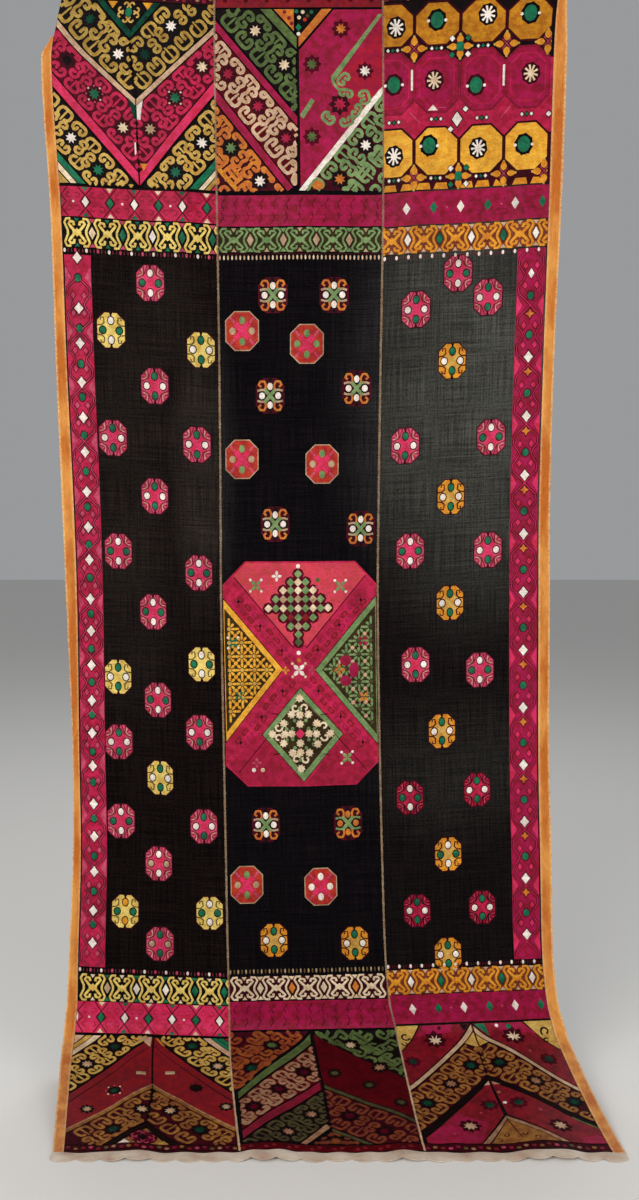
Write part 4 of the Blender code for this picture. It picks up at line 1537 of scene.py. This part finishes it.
def lower_diamond(work):
    """The medallion's lower field: a dark heart with cream filigree in a green frame."""
    diamond = ((157, 1308), (77, 1402), (161, 1497), (243, 1403))
    work.fill(diamond, "maroon", gap=0.0)
    work.fill(diamond, "leaf", layer=1, gap=1.6)
    work.fill(shrunk(face_up(diamond), 12.5), "maroon", layer=2, gap=0.0)
    work.fill(shrunk(face_up(diamond), 14.0), "umber", layer=3, gap=0.0)
    work.on = 1
    for x, y, u, v in ((98, 1360, 14, 2), (212, 1362, -16, 2), (100, 1442, 14, -3), (214, 1444, -14, -3)):
        work.line([(x, y), (x + u, y + v)], "maroon", 2.0, FLAT_LINE)
    work.on = 3
    for k, spot in enumerate(ring((155, 1400), 34, 42, 12)):
        work.line(hook(spot, 5.6, pi / 6 * k + pi, (-1) ** k, 250), "leaf", 2.6, 0.4)
    for spot in HEART_FLOWERS:
        work.pad(ring(spot, 9.2, 9.2, 16, 0.2, 0.66), "cream", 0.6, 0.6)
    for x, y, turn in HEART_CURLS:
        work.line(hook((x, y), 8.4, radians(turn), 1 if y < 1400 else -1, 290), "cream", 4.4)
    for spot in HEART_BEADS:
        bead(work, *spot, "leaf", 4.0)
    work.pad(ring((155, 1400), 9.5, 9.5, 8, 0.0, 0.8), "pink", 0.6, 0.6)


def centre_needlework():
    work = Needlework(CENTRE)
    centre_top_block(work)
    lattice_band(work, 364, 423, "magenta", "crimson", in_turn(10, 24.5, 13, ("",)))
    unit_row(work, 425, 471, "leaf", "umber", 31, 63, ("tan", "tan"), ("tan", "leaf"), 4.8)
    work.line([(0, 474), (315, 474)], "maroon", 3.0)
    tick_row(work, 481, 7.8, ("buff", "cream"), 1.9, 4.8, thin=0)
    blossoms(work, CENTRE_BLOSSOMS)
    medallion(work)
    tick_row(work, 1876, 7.8, ("tan", "olive"), 1.9, 5.2, thin=0)
    unit_row(work, 1886, 1935, "cream", "maroon", 31, 63, ("orange", "cream"), ("cream", "cream"), 5.2)
    lattice_band(work, 1937, 1996, "magenta", "crimson", in_turn(10, 24.5, 13, ("",)))
    centre_foot_block(work)
    return work


# ---------------------------------------------------------------- the right strip

RIGHT_BLOSSOMS = (
    ("pink", "white", "emerald", ((148, 520), (222, 836), (64, 1048), (204, 1288))),
    ("pink", "emerald", "white", ((67, 585), (208, 568), (51, 844), (220, 1054), (74, 1270))),
    ("orange", "emerald", "white", ((141, 686), (144, 947), (144, 1153), (126, 1404), (128, 1852))),
    ("cerise", "white", "emerald", ((59, 1533),)),
    ("cerise", "emerald", "white", ((196, 1525), (68, 1760), (201, 1760))),
    ("orange", "white", "emerald", ((134, 1650),)),
)
# Rows of eight-sided flowers: body, top, foot, then the hearts: across, down, thread
OCTAGON_ROWS = (
    ("amber", 15, 92, ((24, 57, "white"), (100, 47, "emerald"), (194, 42, "white"), (273, 44, "emerald"))),
    ("magenta", 106, 216, ((20, 162, "emerald"), (96, 158, "cream"), (175, 171, "emerald"),
                           (278, 155, "cream"))),
    ("marigold", 246, 334, ((20, 295, "white"), (87, 279, "emerald"), (181, 288, "white"),
                        (268, 286, "emerald"))),
)
RIGHT_COLUMNS = (-22, 58, 144, 230, 316)
RIGHT_TOP_EDGES = planes(box(0.0, 9, 314.5, 362))
# A broad gold petal: millimetres out from the flower's middle, and to the side
GOLD_PETAL = ((4, 0), (8, 5.5), (13, 7.2), (18, 5.0), (22, 2.0), (22, -2.0), (18, -5.0), (13, -7.2),
              (8, -5.5))
# Flowers of the right border: how far down, and thread; then the ones that repeat below them
RIGHT_FLOWERS = ((529, "tall"), (571, "emerald"), (605, "orange"), (645, "emerald"), (687, "white"))
RIGHT_REPEAT = ((28, "orange"), (69, "emerald"), (113, "white"))
LAST_FLOWER = 1720


def within(shape):
    """The part of a shape that the right strip's upper end holds."""
    for a, b, c in RIGHT_TOP_EDGES:
        shape = half_plane(shape, a, b, c)
    return shape


def gold_heart(work, x, y, body, thread):
    """The heart of an eight-sided flower: a green oval, or a wheel of pale strokes."""
    work.pad(ring((x, y), 19.5, 22.5, 16, 0.2, 0.90), "maroon" if body == "magenta" else "dark", rise=0.2)
    if thread == "emerald":
        work.pad(ring((x, y), 13.0, 16.5, 12), thread, 1.0, 0.6)
        for side in (-1, 1):
            bead(work, x + side * 16, y + 1, "white", 3.4)
        return
    for tip in ring((x, y), 13.5, 16.0, 9, 0.3):
        work.line([(x, y), tip], thread, 4.6, 0.6, taper=-0.5)
    work.pad(ring((x, y), 7.0, 8.0, 8), thread, 0.0, 0.7)


def gold_cross(work, x, y, heart):
    """Four broad gold petals on a dark diamond, between the eight-sided flowers."""
    work.pad(within([(x - 24, y), (x, y - 24), (x + 24, y), (x, y + 24)]), "maroon", 0.4, 0.25)
    for k in range(4):
        ux, uy = cos(pi / 2 * k), sin(pi / 2 * k)
        petal = within([(x + ux * p - uy * q, y + uy * p + ux * q) for p, q in GOLD_PETAL])
        if petal:
            work.pad(petal, "gold", pi / 2 * k, 0.6)
            if x + 22.5 * ux < 312:
                bead(work, x + 22.5 * ux, y + 22.5 * uy, "straw", 2.6, 0.7)
    if heart == "emerald":
        work.pad(ring((x, y), 9.0, 11.5, 10), heart, 0.3, 0.8, "dark")
        for sx, sy in CORNERS:
            work.diamond(x + 15 * sx, y + 15 * sy, 6.0, 6.5, "white" if sx == sy else "emerald")
    else:
        for sx in (-1, 1):
            work.line([(x - 8 * sx, y - 9), (x + 8 * sx, y + 9)], heart, 2.2, 0.8, RIGHT_TOP_EDGES)


def right_top_block(work):
    """The right strip's upper end: rows of eight-sided flowers in gold and magenta."""
    flower_line(work, -4, 8)
    for top, foot, thread in ((10, 126, "dark"), (127, 266, "cerise"), (267, 361, "maroon")):
        work.fill(box(0, top, 320, foot), thread, layer=-1)
    for body, top, foot, hearts in OCTAGON_ROWS:
        rim = "crimson" if body == "magenta" else "maroon"
        y, tall = (top + foot) / 2, (foot - top) / 2
        for left, right in zip(RIGHT_COLUMNS, RIGHT_COLUMNS[1:]):
            x, half = (left + right) / 2, (right - left) / 2 - 2.0
            work.fill(within(octagon(x, y, half + 1.6, tall + 3.4, half * 0.58)), rim, gap=0.0)
            work.fill(within(octagon(x, y, half - 0.8, tall, half * 0.56)), body, layer=1)
            if body == "magenta":
                work.on = 1
                path = octagon(x, y, half * 0.80, tall * 0.80, half * 0.44)
                work.line(path + path[:1], "cerise", 2.6, FLAT_LINE, RIGHT_TOP_EDGES)
        work.on = 1
        for across, down, thread in hearts:
            gold_heart(work, across, down, body, thread)
    work.on = 0
    for y in (98, 338):
        for x, heart in ((58, "rose"), (144, "emerald"), (231, "rose"), (308, "rose")):
            gold_cross(work, x, y, heart)
    for x, y in ((18, 99), (100, 99), (187, 99), (20, 232), (100, 230), (187, 232), (272, 230), (20, 340),
                 (100, 340), (187, 340)):
        for side, thread in ((-1, "white"), (0, "emerald"), (1, "white")):
            work.diamond(x + side * 9, y, 3.6, 4.2, thread)
    for x, y, tilt in ((60, 226, 1), (232, 224, -1), (110, 209, 0)):
        work.line([(x - 9, y - 10 * tilt), (x + 9, y + 10 * tilt)], "rose", 2.6, 0.7)
    for x, y, wide, tall in ((140, 232, 10.5, 15), (128, 250, 6, 6), (156, 214, 6, 6), (314, 232, 6, 6)):
        work.diamond(x, y, wide, tall, "white")
    work.on = 1
    work.pad([(84, 214), (104, 214), (94, 203)], "white", 0.4)
    for x in (54, 227):
        work.pad(box(x - 2.0, 136, x + 2.0, 175), "white")
    for x, half in ((12, 14), (44, 12), (76, 15), (110, 15), (160, 13), (190, 15), (224, 14), (262, 15),
                    (296, 15)):
        hump = [(x - half, 361), (x - half * 0.6, 348), (x + half * 0.8, 348), (x + half, 361)]
        work.fill(within(hump), "gold")
    work.on = None


def right_foot_block(work):
    """The right strip's lower end: one inverted V inside another."""
    shapes(work, (
        ("straw", ((0, 1993), (48, 1993), (0, 2062))),
        ("straw", ((262, 1993), (320, 1993), (320, 2062))),
        ("buff", ((155, 1994), (155, 2008), (0, 2186), (0, 2172))),
        ("buff", ((155, 1994), (320, 2174), (320, 2187), (155, 2008))),
        ("dark", ((155, 2138), (155, 2152), (5, 2333), (0, 2320))),
        ("dark", ((155, 2138), (320, 2286), (320, 2299), (155, 2152))),
        ("straw", ((155, 2010), (180, 2038), (155, 2050), (132, 2036))),
        ("clay", ((163, 2264), (163, 2275), (117, 2352), (104, 2352))),
        ("clay", ((163, 2264), (256, 2352), (241, 2352), (163, 2275))),
        ("bronze", ((163, 2276), (239, 2352), (119, 2352))),
    ))
    fields(work, (
        ("blood", None, (-155, 180), ((50, 1993), (153, 1993), (0, 2170), (0, 2064)), ()),
        ("blood", None, (165, 180), ((157, 1993), (260, 1993), (320, 2064), (320, 2172)), ()),
        ("bronze", "maroon", (-155, 180), ((154, 2052), (154, 2137), (0, 2318), (0, 2190), (130, 2040)),
         ((131, 2104, "bottle"), (82, 2162, "clay"), (28, 2222, "bottle"))),
        ("bronze", "maroon", (165, 150), ((156, 2052), (182, 2042), (320, 2190), (320, 2284), (156, 2137)),
         ((186, 2103, "bottle"), (243, 2160, "clay"), (300, 2218, "bottle"))),
        ("blood", None, (-155, 180), ((155, 2154), (160, 2262), (103, 2352), (8, 2352), (8, 2334)), ()),
        ("blood", None, (165, 150), ((157, 2154), (320, 2301), (320, 2352), (258, 2352), (166, 2262)), ()),
    ))
    for thread, points in (
        ("magenta", ((56, 1994), (120, 1994), (108, 2010), (40, 2016))),
        ("magenta", ((190, 1994), (256, 1994), (284, 2018), (216, 2012))),
        ("magenta", ((10, 2351), (10, 2334), (78, 2254), (128, 2284), (104, 2351))),
        ("magenta", ((284, 2351), (276, 2334), (312, 2322), (319, 2332), (319, 2351))),
        ("moss", ((282, 2265), (320, 2299), (320, 2306), (280, 2270))),
        ("buff", ((155, 2152), (155, 2166), (142, 2168))),
        ("clay", ((159, 2154), (176, 2168), (160, 2166))),
        ("emerald", ((159, 1994), (182, 1994), (188, 2022))),
        ("dark", ((130, 1994), (151, 1994), (138, 2008))),
    ):
        work.fill(points, thread, 0.8, layer=1)
    work.on = 1
    for x, y, thread, size in (
        (75, 2027, "cream", 15), (234, 2025, "cream", 16), (20, 2091, "bottle", 11),
        (287, 2089, "bottle", 12), (141, 2228, "bottle", 12), (194, 2228, "bottle", 12),
        (93, 2295, "buff", 14.5), (252, 2299, "buff", 14.5),
    ):
        work.star(x, y, thread, size, "wine" if thread == "bottle" else "maroon")
    for x, y, thread, size in (
        (206, 1999, "white", 4), (230, 2002, "emerald", 6), (166, 2190, "clay", 4),
        (120, 2252, "rose", 3), (228, 2252, "rose", 4), (256, 2068, "rose", 3.4),
        (88, 2000, "maroon", 4), (60, 2322, "rose", 3), (170, 2224, "white", 4),
    ):
        bead(work, x, y, thread, size)
    work.on = 0
    for x, y, turn in ((16, 2016, 0.4), (302, 2014, 2.4)):
        work.line(hook((x, y), 10.0, turn, 1, 300), "dark", 4.2)
        work.line(hook((x - 3, y + 20), 7.0, turn + pi, -1, 290), "dark", 3.6)
    for x, y in ((150, 2326), (182, 2326), (204, 2340), (136, 2342)):
        work.line(hook((x, y), 6.0, x, 1, 270), "maroon", 2.8, FLAT_LINE)
    work.line([(163, 2278), (176, 2336)], "maroon", 2.4, FLAT_LINE)
    work.line([(157, 1996), (160, 2060), (163, 2136)], "maroon", 3.0, 0.5)
    work.on = None
    flower_line(work, 2354, 2379)


def right_needlework():
    work = Needlework(RIGHT)
    right_top_block(work)
    lattice_band(work, 363, 426, "magenta", "crimson", in_turn(-8, 52.5, 7, ("emerald", "white")))
    unit_row(work, 428, 478, "gold", "rust", 17, 62, ("emerald", "white"), ("buff", "buff"), 5.8)
    tick_row(work, 485, 23, ("white",), between="crimson", thin=4)
    flowers = list(RIGHT_FLOWERS)
    while flowers[-1][0] < LAST_FLOWER:
        start = flowers[-1][0]
        flowers += [(start + step, thread) for step, thread in RIGHT_REPEAT]
    side_border(work, 262, 318, 481, 1868, "magenta", "wine", "pink", flowers, 589, 113)
    blossoms(work, RIGHT_BLOSSOMS)
    tick_row(work, 1873, 23, ("white",), between="crimson", thin=4)
    unit_row(work, 1880, 1930, "gold", "rust", 17, 62, ("emerald", "white"), ("buff", "buff"), 5.8)
    lattice_band(work, 1931, 1990, "magenta", "crimson", in_turn(-8, 52.5, 7, ("emerald", "white")))
    right_foot_block(work)
    return work


# ---------------------------------------------------------------- cloth

# Where the weave is thin and turns pale grey, as painted light through it and painted sheen on it: across,
# down, half width, half height, how far
SHEER_LIGHT_PATCHES = (
    (0.330, 0.74, 0.26, 0.45, 1.00),
    (0.480, 0.90, 0.08, 0.36, 0.85),
    (0.300, 1.48, 0.20, 0.16, 0.18),
    (-0.200, 0.88, 0.07, 0.30, 0.62),
    (-0.360, 0.95, 0.14, 0.50, 0.26),
    (-0.270, 0.60, 0.10, 0.16, 0.22),
)


def sheer_light_amount(across, down):
    amount = np.zeros(len(across))
    for middle, centre, wide, tall, most in SHEER_LIGHT_PATCHES:
        reach = np.hypot((across - middle) / wide, (down - centre) / tall)
        amount = np.maximum(amount, most * smooth(1.25 - reach))
    return amount


def shell_faces(rows, columns):
    """Faces of a closed thin shell: a front grid, a back grid after it, and the rim between."""
    back = rows * columns

    def at(i, j):
        return i * columns + j

    front_faces = [(at(i, j), at(i + 1, j), at(i + 1, j + 1), at(i, j + 1))
                   for i in range(rows - 1) for j in range(columns - 1)]
    back_faces = [tuple(back + index for index in face[::-1]) for face in front_faces]
    rim = [at(0, j) for j in range(columns)]
    rim += [at(i, columns - 1) for i in range(1, rows)]
    rim += [at(rows - 1, j) for j in range(columns - 2, -1, -1)]
    rim += [at(i, 0) for i in range(rows - 2, 0, -1)]
    rim_faces = [(a, b, back + b, back + a) for a, b in zip(rim, rim[1:] + rim[:1])]
    return front_faces, back_faces, rim_faces


def cloth_piece(strip, material, node):
    """One strip's cotton as a thin closed shell on the cloth's own grid."""
    grid = [(across, down, out) for out in (0.0, -CLOTH_WALL) for down in ROWS
            for across in strip.columns]
    points = strip.lay(grid)
    front, back, rim = shell_faces(len(ROWS), len(strip.columns))
    flat = [(across, down) for across, down, _ in grid]
    maps = map_places(flat, front, strip.width, 0, 2)
    maps += map_places(flat, back, strip.width, 1, 2)
    maps += map_places(flat, rim, strip.width, 0, 2)
    faces = front + back + rim
    weave = [flat[index] for face in faces for index in face]
    piece = make_piece(node, points, faces, [material], maps={"OFBake": maps, "Weave": weave})
    # How much painted light through the thin weave, and painted sheen, each point takes.
    sheer = piece.data.attributes.new("SheerLight", "FLOAT", "POINT")
    sheer.data.foreach_set("value", sheer_light_amount(points[:, 0], np.array(grid)[:, 1]).astype(np.float32))
    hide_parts(node)
    return piece


# ---------------------------------------------------------------- bindings, edging and joins

BINDING_LOOP = (
    # share of the way out, height out from the cloth's middle as a share of the half thickness
    (0.00, 0.55), (0.03, 0.95), (0.22, 1.10), (0.50, 1.25), (0.78, 1.15), (0.94, 0.85), (1.00, 0.00),
    (0.94, -0.85), (0.78, -1.05), (0.50, -1.10), (0.22, -1.00), (0.03, -0.90), (0.00, -0.55),
)
BINDING_STEP = 0.0055
BINDING_COLUMNS = 6
INNER_GIRTH = 0.055
PUCKER_DEPTH = 0.0005
ROD_STRETCH = 0.045  # down to here the binding stands further out, to clear the rod
LEFT_BINDING_TOP = 0.085
LEFT_BINDING_TAPER = 0.035
LEFT_BINDING_START = 0.3


def left_binding_outer(down):
    share = smooth((down - LEFT_BINDING_TOP) / LEFT_BINDING_TAPER)
    missing = (1.0 - LEFT_BINDING_START) * (1.0 - share)
    return line_at("left", down) + line_at("left_band", down) * missing


def binding_maps(faces, downs, start):
    """Places of the binding's face corners: on the bake's square, and on its own length."""
    count, length = len(BINDING_LOOP), CLOTH_END - start
    girth = [0.0]
    for a, b in zip(BINDING_LOOP, BINDING_LOOP[1:]):
        girth.append(girth[-1] + hypot(a[0] - b[0], 0.1 * (a[1] - b[1])))
    maps, weave = [], []
    for face in faces:
        rows = [index // count for index in face]
        if len(face) > 4:
            base = 0.98 if rows[0] else 0.0
            for x, y in ring((0.5, 0.5), 0.4, 0.4, count):
                maps.append((0.985 + 0.012 * x, base + 0.012 * y))
                weave.append((0.02 * x, 0.02 * y))
            continue
        shares = [(downs[row] - start) / length * BINDING_COLUMNS for row in rows]
        column = min(int(sum(shares) / 4), BINDING_COLUMNS - 1)
        corners = [index % count for index in face]
        wraps = 0 in corners and count - 1 in corners
        for index, share in zip(corners, shares):
            turn = 1.0 if wraps and index == 0 else girth[index] / (girth[-1] + INNER_GIRTH)
            x = (column + 0.02 + 0.94 * turn) / BINDING_COLUMNS * 0.98
            maps.append((x, in_tile(share - column)))
            weave.append((turn * 0.05, share / BINDING_COLUMNS * length))
    return {"OFBake": maps, "Weave": weave}


def binding_piece(name, material, inner, outer, start, seed):
    """A strip of cotton folded round the cloth's edge, a little puckered by its stitches."""
    chance = random.Random(seed)
    count = len(BINDING_LOOP)
    downs = np.append(np.arange(start, CLOTH_END, BINDING_STEP), CLOTH_END)
    pucker = np.convolve([chance.uniform(-1, 1) for _ in downs], (0.25, 0.5, 0.25), "same")
    proud = (BINDING_WALL - CLOTH_WALL) / 2
    lift = proud * smooth((downs - BEND_END) / (CLOTH_END - BEND_END))
    lift = lift + np.where(downs < ROD_STRETCH, proud, 0.0)
    reach = outer(downs) - inner(downs)
    rows = []
    for share, height in BINDING_LOOP:
        edge = inner(downs) + reach * share + pucker * PUCKER_DEPTH * share * np.sign(reach)
        thick = height * BINDING_WALL / 2 * (1.0 + 0.10 * pucker)
        rows.append(cloth_points(edge, downs, thick + lift - CLOTH_WALL / 2))
    faces = []
    for i in range(len(downs) - 1):
        for j in range(count):
            k = (j + 1) % count
            faces.append((i * count + j, (i + 1) * count + j, (i + 1) * count + k, i * count + k))
    last = (len(downs) - 1) * count
    faces += [tuple(range(count))[::-1], tuple(range(last, last + count))]
    if reach[-1] < 0:
        faces = [face[::-1] for face in faces]
    piece = make_piece(name, np.stack(rows, axis=1).reshape(-1, 3), faces, [material],
                       maps=binding_maps(faces, downs, start), sharp=80)
    worn = piece.data.attributes.new("Worn", "FLOAT", "POINT")
    edge_wear = [0.85 if share > 0.90 else 0.55 if share < 0.05 and height > 0 else 0.0
                 for share, height in BINDING_LOOP]
    worn.data.foreach_set("value", np.array(edge_wear * len(downs), np.float32))
    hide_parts(name)
    return piece


EDGING_DEPTH = 0.026
SCALLOP_DEPTH = 0.011
SCALLOP_PITCH = 0.043
EDGING_ROWS = 7
EDGING_TILES = 12
EDGING_MAP_DEPTH = 0.040
RIM_SPREAD = 0.002
LOBE_POINTS = 8
LOBE_RISE = 0.0016
RIPPLE_HEIGHT = 0.0010
RIPPLE_LENGTH = 0.061


def edging_map(sheets, flat, width):
    """Places on the bake's square: the front's tiles on its left half, the back's on its right."""
    places = []
    for side, faces in enumerate(sheets):
        for face in faces:
            shares = [flat[index][0] / width * EDGING_TILES for index in face]
            column = min(int(sum(shares) / len(shares)), EDGING_TILES - 1)
            for i, (index, share) in enumerate(zip(face, shares)):
                y = (column + 0.04 + 0.88 * flat[index][1] / EDGING_MAP_DEPTH) / EDGING_TILES
                if side == 2 and i > 1:
                    y += RIM_SPREAD
                places.append((min(side, 1) * 0.5 + 0.5 * in_tile(share - column), y))
    return places


def edging_piece(material):
    """The scalloped white strip beyond the cloth's end, uneven as a hand hems it."""
    chance = random.Random(5)
    start = float(line_at("left", CLOTH_END))
    width = float(line_at("right", CLOTH_END)) - start
    count = round(width / SCALLOP_PITCH)
    columns = count * LOBE_POINTS + 1
    depths = [chance.uniform(0.72, 1.0) for _ in range(count + 1)]
    hollows = [chance.uniform(0.86, 1.0) for _ in range(count + 2)]
    places = np.arange(columns)
    across = start + width * places / (columns - 1)
    lobes = places % LOBE_POINTS / LOBE_POINTS
    number = np.minimum(places // LOBE_POINTS, count)
    reach = EDGING_DEPTH * np.interp(places / LOBE_POINTS, np.arange(count + 2), hollows)
    reach += SCALLOP_DEPTH * np.sin(pi * lobes) ** 0.8 * np.array(depths)[number]
    y0 = float(path_point(CLOTH_END)[0]) - SEAM_GAP
    hem_rise = fold_height(RIDGE_ROWS, RIDGE_FADE, across, CLOTH_END)
    hem = y0 - cos(END_LEAN) * (hem_rise + BINDING_WALL)
    ripple = RIPPLE_HEIGHT * np.sin(2 * pi * across / RIPPLE_LENGTH + 2.5 * np.sin(across * 9))
    front, flat = [], []
    for row in range(EDGING_ROWS + 1):
        share = row / EDGING_ROWS
        depth = reach * share
        rise = fold_height(RIDGE_ROWS, RIDGE_FADE, across, CLOTH_END + depth)
        lobe_rise = LOBE_RISE * np.sin(pi * lobes) * np.sin(pi * min(share * 1.1, 1.0))
        waves = (ripple + RIPPLE_HEIGHT) * (1.0 - 0.4 * share)
        height = FLOOR + EDGING_WALL + rise + waves + lobe_rise
        front.append(np.stack((across, hem - depth, height), axis=-1))
        flat += [(float(x) - start, float(d)) for x, d in zip(across, depth)]
    front = np.concatenate(front)
    back = front - np.array((0.0, 0.0, EDGING_WALL))
    sheets = shell_faces(EDGING_ROWS + 1, columns)
    piece = make_piece("end_edging", np.concatenate((front, back)), sum(sheets, []), [material],
                       maps={"OFBake": edging_map(sheets, flat + flat, width)}, sharp=70)
    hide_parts("end_edging")
    return piece


SEAM_PITCH = 0.0031
SEAM_LENGTHS = (0.0034, 0.0046)
SEAM_SHIFT = 0.00025
SEAM_THREAD = 0.0023
SEAM_HEIGHT = 0.0011
SEAM_SLANT = 0.0006
# One stitch: three points at each end, then three at its middle
SEAM_FACES = ((6, 7, 1, 0), (3, 4, 7, 6), (7, 8, 2, 1), (4, 5, 8, 7), (0, 1, 2), (5, 4, 3))


def stitch_row(name, places, downs, lengths, material):
    """A row of small separate stitches across a join, each a rounded bar of thread."""
    points, faces, stitches = [], [], []
    for place, down, length in zip(places, downs, lengths):
        base = len(points)
        for end, out in ((-1, SEAM_HEIGHT), (1, SEAM_HEIGHT), (0, SEAM_HEIGHT * 1.35)):
            x, d = place + end * length / 2, down + end * SEAM_SLANT
            points += [(x, d - SEAM_THREAD / 2, 0.0), (x, d, out), (x, d + SEAM_THREAD / 2, 0.0)]
        for corners in SEAM_FACES:
            face = tuple(base + index for index in corners)
            faces.append(face)
            stitches += [(points[index][1], points[index][0]) for index in face]
    array = np.array(points)
    laid = cloth_points(array[:, 0], np.clip(array[:, 1], TOP_END, CLOTH_END), array[:, 2])
    centre = sum(places) / len(places)
    flat = [(x - centre + 0.15, d) for x, d, _ in points]
    maps = {"OFBake": map_places(flat, faces, 0.3), "Stitch": stitches}
    piece = make_piece(name, laid, faces, [material], maps=maps, sharp=80)
    return piece


def join_stitches():
    """Tan overcast stitches down both joins of the strips."""
    chance = random.Random(8)
    made = []
    for name, slot in (("left_seam", "black_cotton_left"), ("right_seam", "black_cotton_right")):
        downs = np.arange(0.002, CLOTH_END - 0.004, SEAM_PITCH)
        places = line_at(name, downs) + np.array([chance.uniform(-1, 1) for _ in downs]) * SEAM_SHIFT
        lengths = [chance.uniform(*SEAM_LENGTHS) for _ in downs]
        made.append(stitch_row(name + "_stitches", places, downs, lengths, SILKS["tan"]))
    return made


# ---------------------------------------------------------------- light, floor and camera

FLOOR_SIZE = 30.0
FLOOR_GAP = 0.0006
# Lamps: name, where it stands, where it points, size, power and colour
LAMPS = (
    ("key", (-1.5, -3.3, 0.2), (0.0, -0.1, -1.2), (2.4, 2.2), 92, (1.0, 0.985, 0.96)),
    ("fill", (2.3, -2.9, -0.6), (0.0, -0.1, -1.1), (2.0, 2.4), 44, (0.97, 0.985, 1.0)),
    ("low", (0.1, -3.6, -1.2), (0.0, 0.0, -1.5), (2.6, 1.2), 22, (1.0, 1.0, 1.0)),
    ("back", (0.0, 2.6, 2.6), (0.0, 0.0, -1.0), (2.4, 1.6), 60, (1.0, 1.0, 1.0)),
)
SURROUND_COLOUR = (0.90, 0.92, 0.95, 1.0)
SURROUND_STRENGTH = 0.35
CAMERA_PLACE = (0.029, -2.9128, -0.9216)
CAMERA_TILT = radians(85.5)
LENS_LENGTH = 45.0
SENSOR_WIDTH = 36.0


def area_light(name, location, target, size, power, colour):
    light = bpy.data.lights.new(name, "AREA")
    light.shape = "RECTANGLE"
    light.size, light.size_y = size
    light.energy = power
    light.color = colour
    lamp = bpy.data.objects.new(name, light)
    lamp.location = location
    away = [a - b for a, b in zip(location, target)]
    lamp.rotation_euler = (atan2(hypot(away[0], away[1]), away[2]), 0.0, atan2(away[0], -away[1]))
    bpy.context.scene.collection.objects.link(lamp)


def set_stage():
    bpy.ops.mesh.primitive_plane_add(size=FLOOR_SIZE, location=(0.0, 0.0, FLOOR - FLOOR_GAP))
    floor = bpy.context.object
    floor.name = "floor"
    paint = Finish("pale_floor", 0.9, specular=0.2)
    paint.shader.inputs["Base Color"].default_value = (*linear((226, 224, 220)), 1.0)
    floor.data.materials.append(paint.material)
    for lamp in LAMPS:
        area_light(*lamp)
    world = bpy.data.worlds.new("soft_surround")
    bpy.context.scene.world = world
    world.use_nodes = True
    world.node_tree.nodes["Background"].inputs["Color"].default_value = SURROUND_COLOUR
    world.node_tree.nodes["Background"].inputs["Strength"].default_value = SURROUND_STRENGTH
    bpy.context.scene.view_settings.view_transform = "Standard"
    camera = bpy.data.cameras.new("front_camera")
    camera.lens = LENS_LENGTH
    camera.sensor_width = SENSOR_WIDTH
    body = bpy.data.objects.new("front_camera", camera)
    body.location = CAMERA_PLACE
    body.rotation_euler = (CAMERA_TILT, 0.0, 0.0)
    bpy.context.scene.collection.objects.link(body)
    bpy.context.scene.camera = body


# ---------------------------------------------------------------- all together

SILKS = {name: silk(name) for name in THREADS}


def main():
    black = cotton("brown_black_cotton", (7, 4, 4), (70, 62, 56), (27, 19, 17))
    middle = cotton("blue_black_cotton", (5, 4, 6), (70, 68, 68), (21, 16, 19))
    # Its paler open weave is painted light where the weave is thin.
    grey = cotton("grey_cotton_with_painted_light", (8, 6, 6), (92, 92, 85), (28, 22, 21))
    for strip, node, material, slot, needlework in (
        (LEFT, "left_panel", black, "black_cotton_left", left_needlework),
        (CENTRE, "centre_panel", middle, "black_cotton_centre", centre_needlework),
        (RIGHT, "right_panel", grey, "black_cotton_right", right_needlework),
    ):
        panel = cloth_piece(strip, material, node)
        needlework().make(strip.name, slot)
    seams = join_stitches()
    orange = band_cotton("orange_binding_cotton", (182, 96, 22), (212, 140, 62), (232, 190, 132))
    left_band = binding_piece(
        "left_binding", orange,
        lambda d: line_at("left", d) + line_at("left_band", d), left_binding_outer,
        LEFT_BINDING_TOP, 3,
    )
    right_band = binding_piece(
        "right_binding", orange,
        lambda d: line_at("right", d) - line_at("right_band", d), lambda d: line_at("right", d),
        TOP_END, 4,
    )
    edging = edging_piece(white_cotton())
    rod = bpy.data.objects["rod"]
    rod.data.materials.clear()
    rod.data.materials.append(rod_wood())
    set_stage()


main()
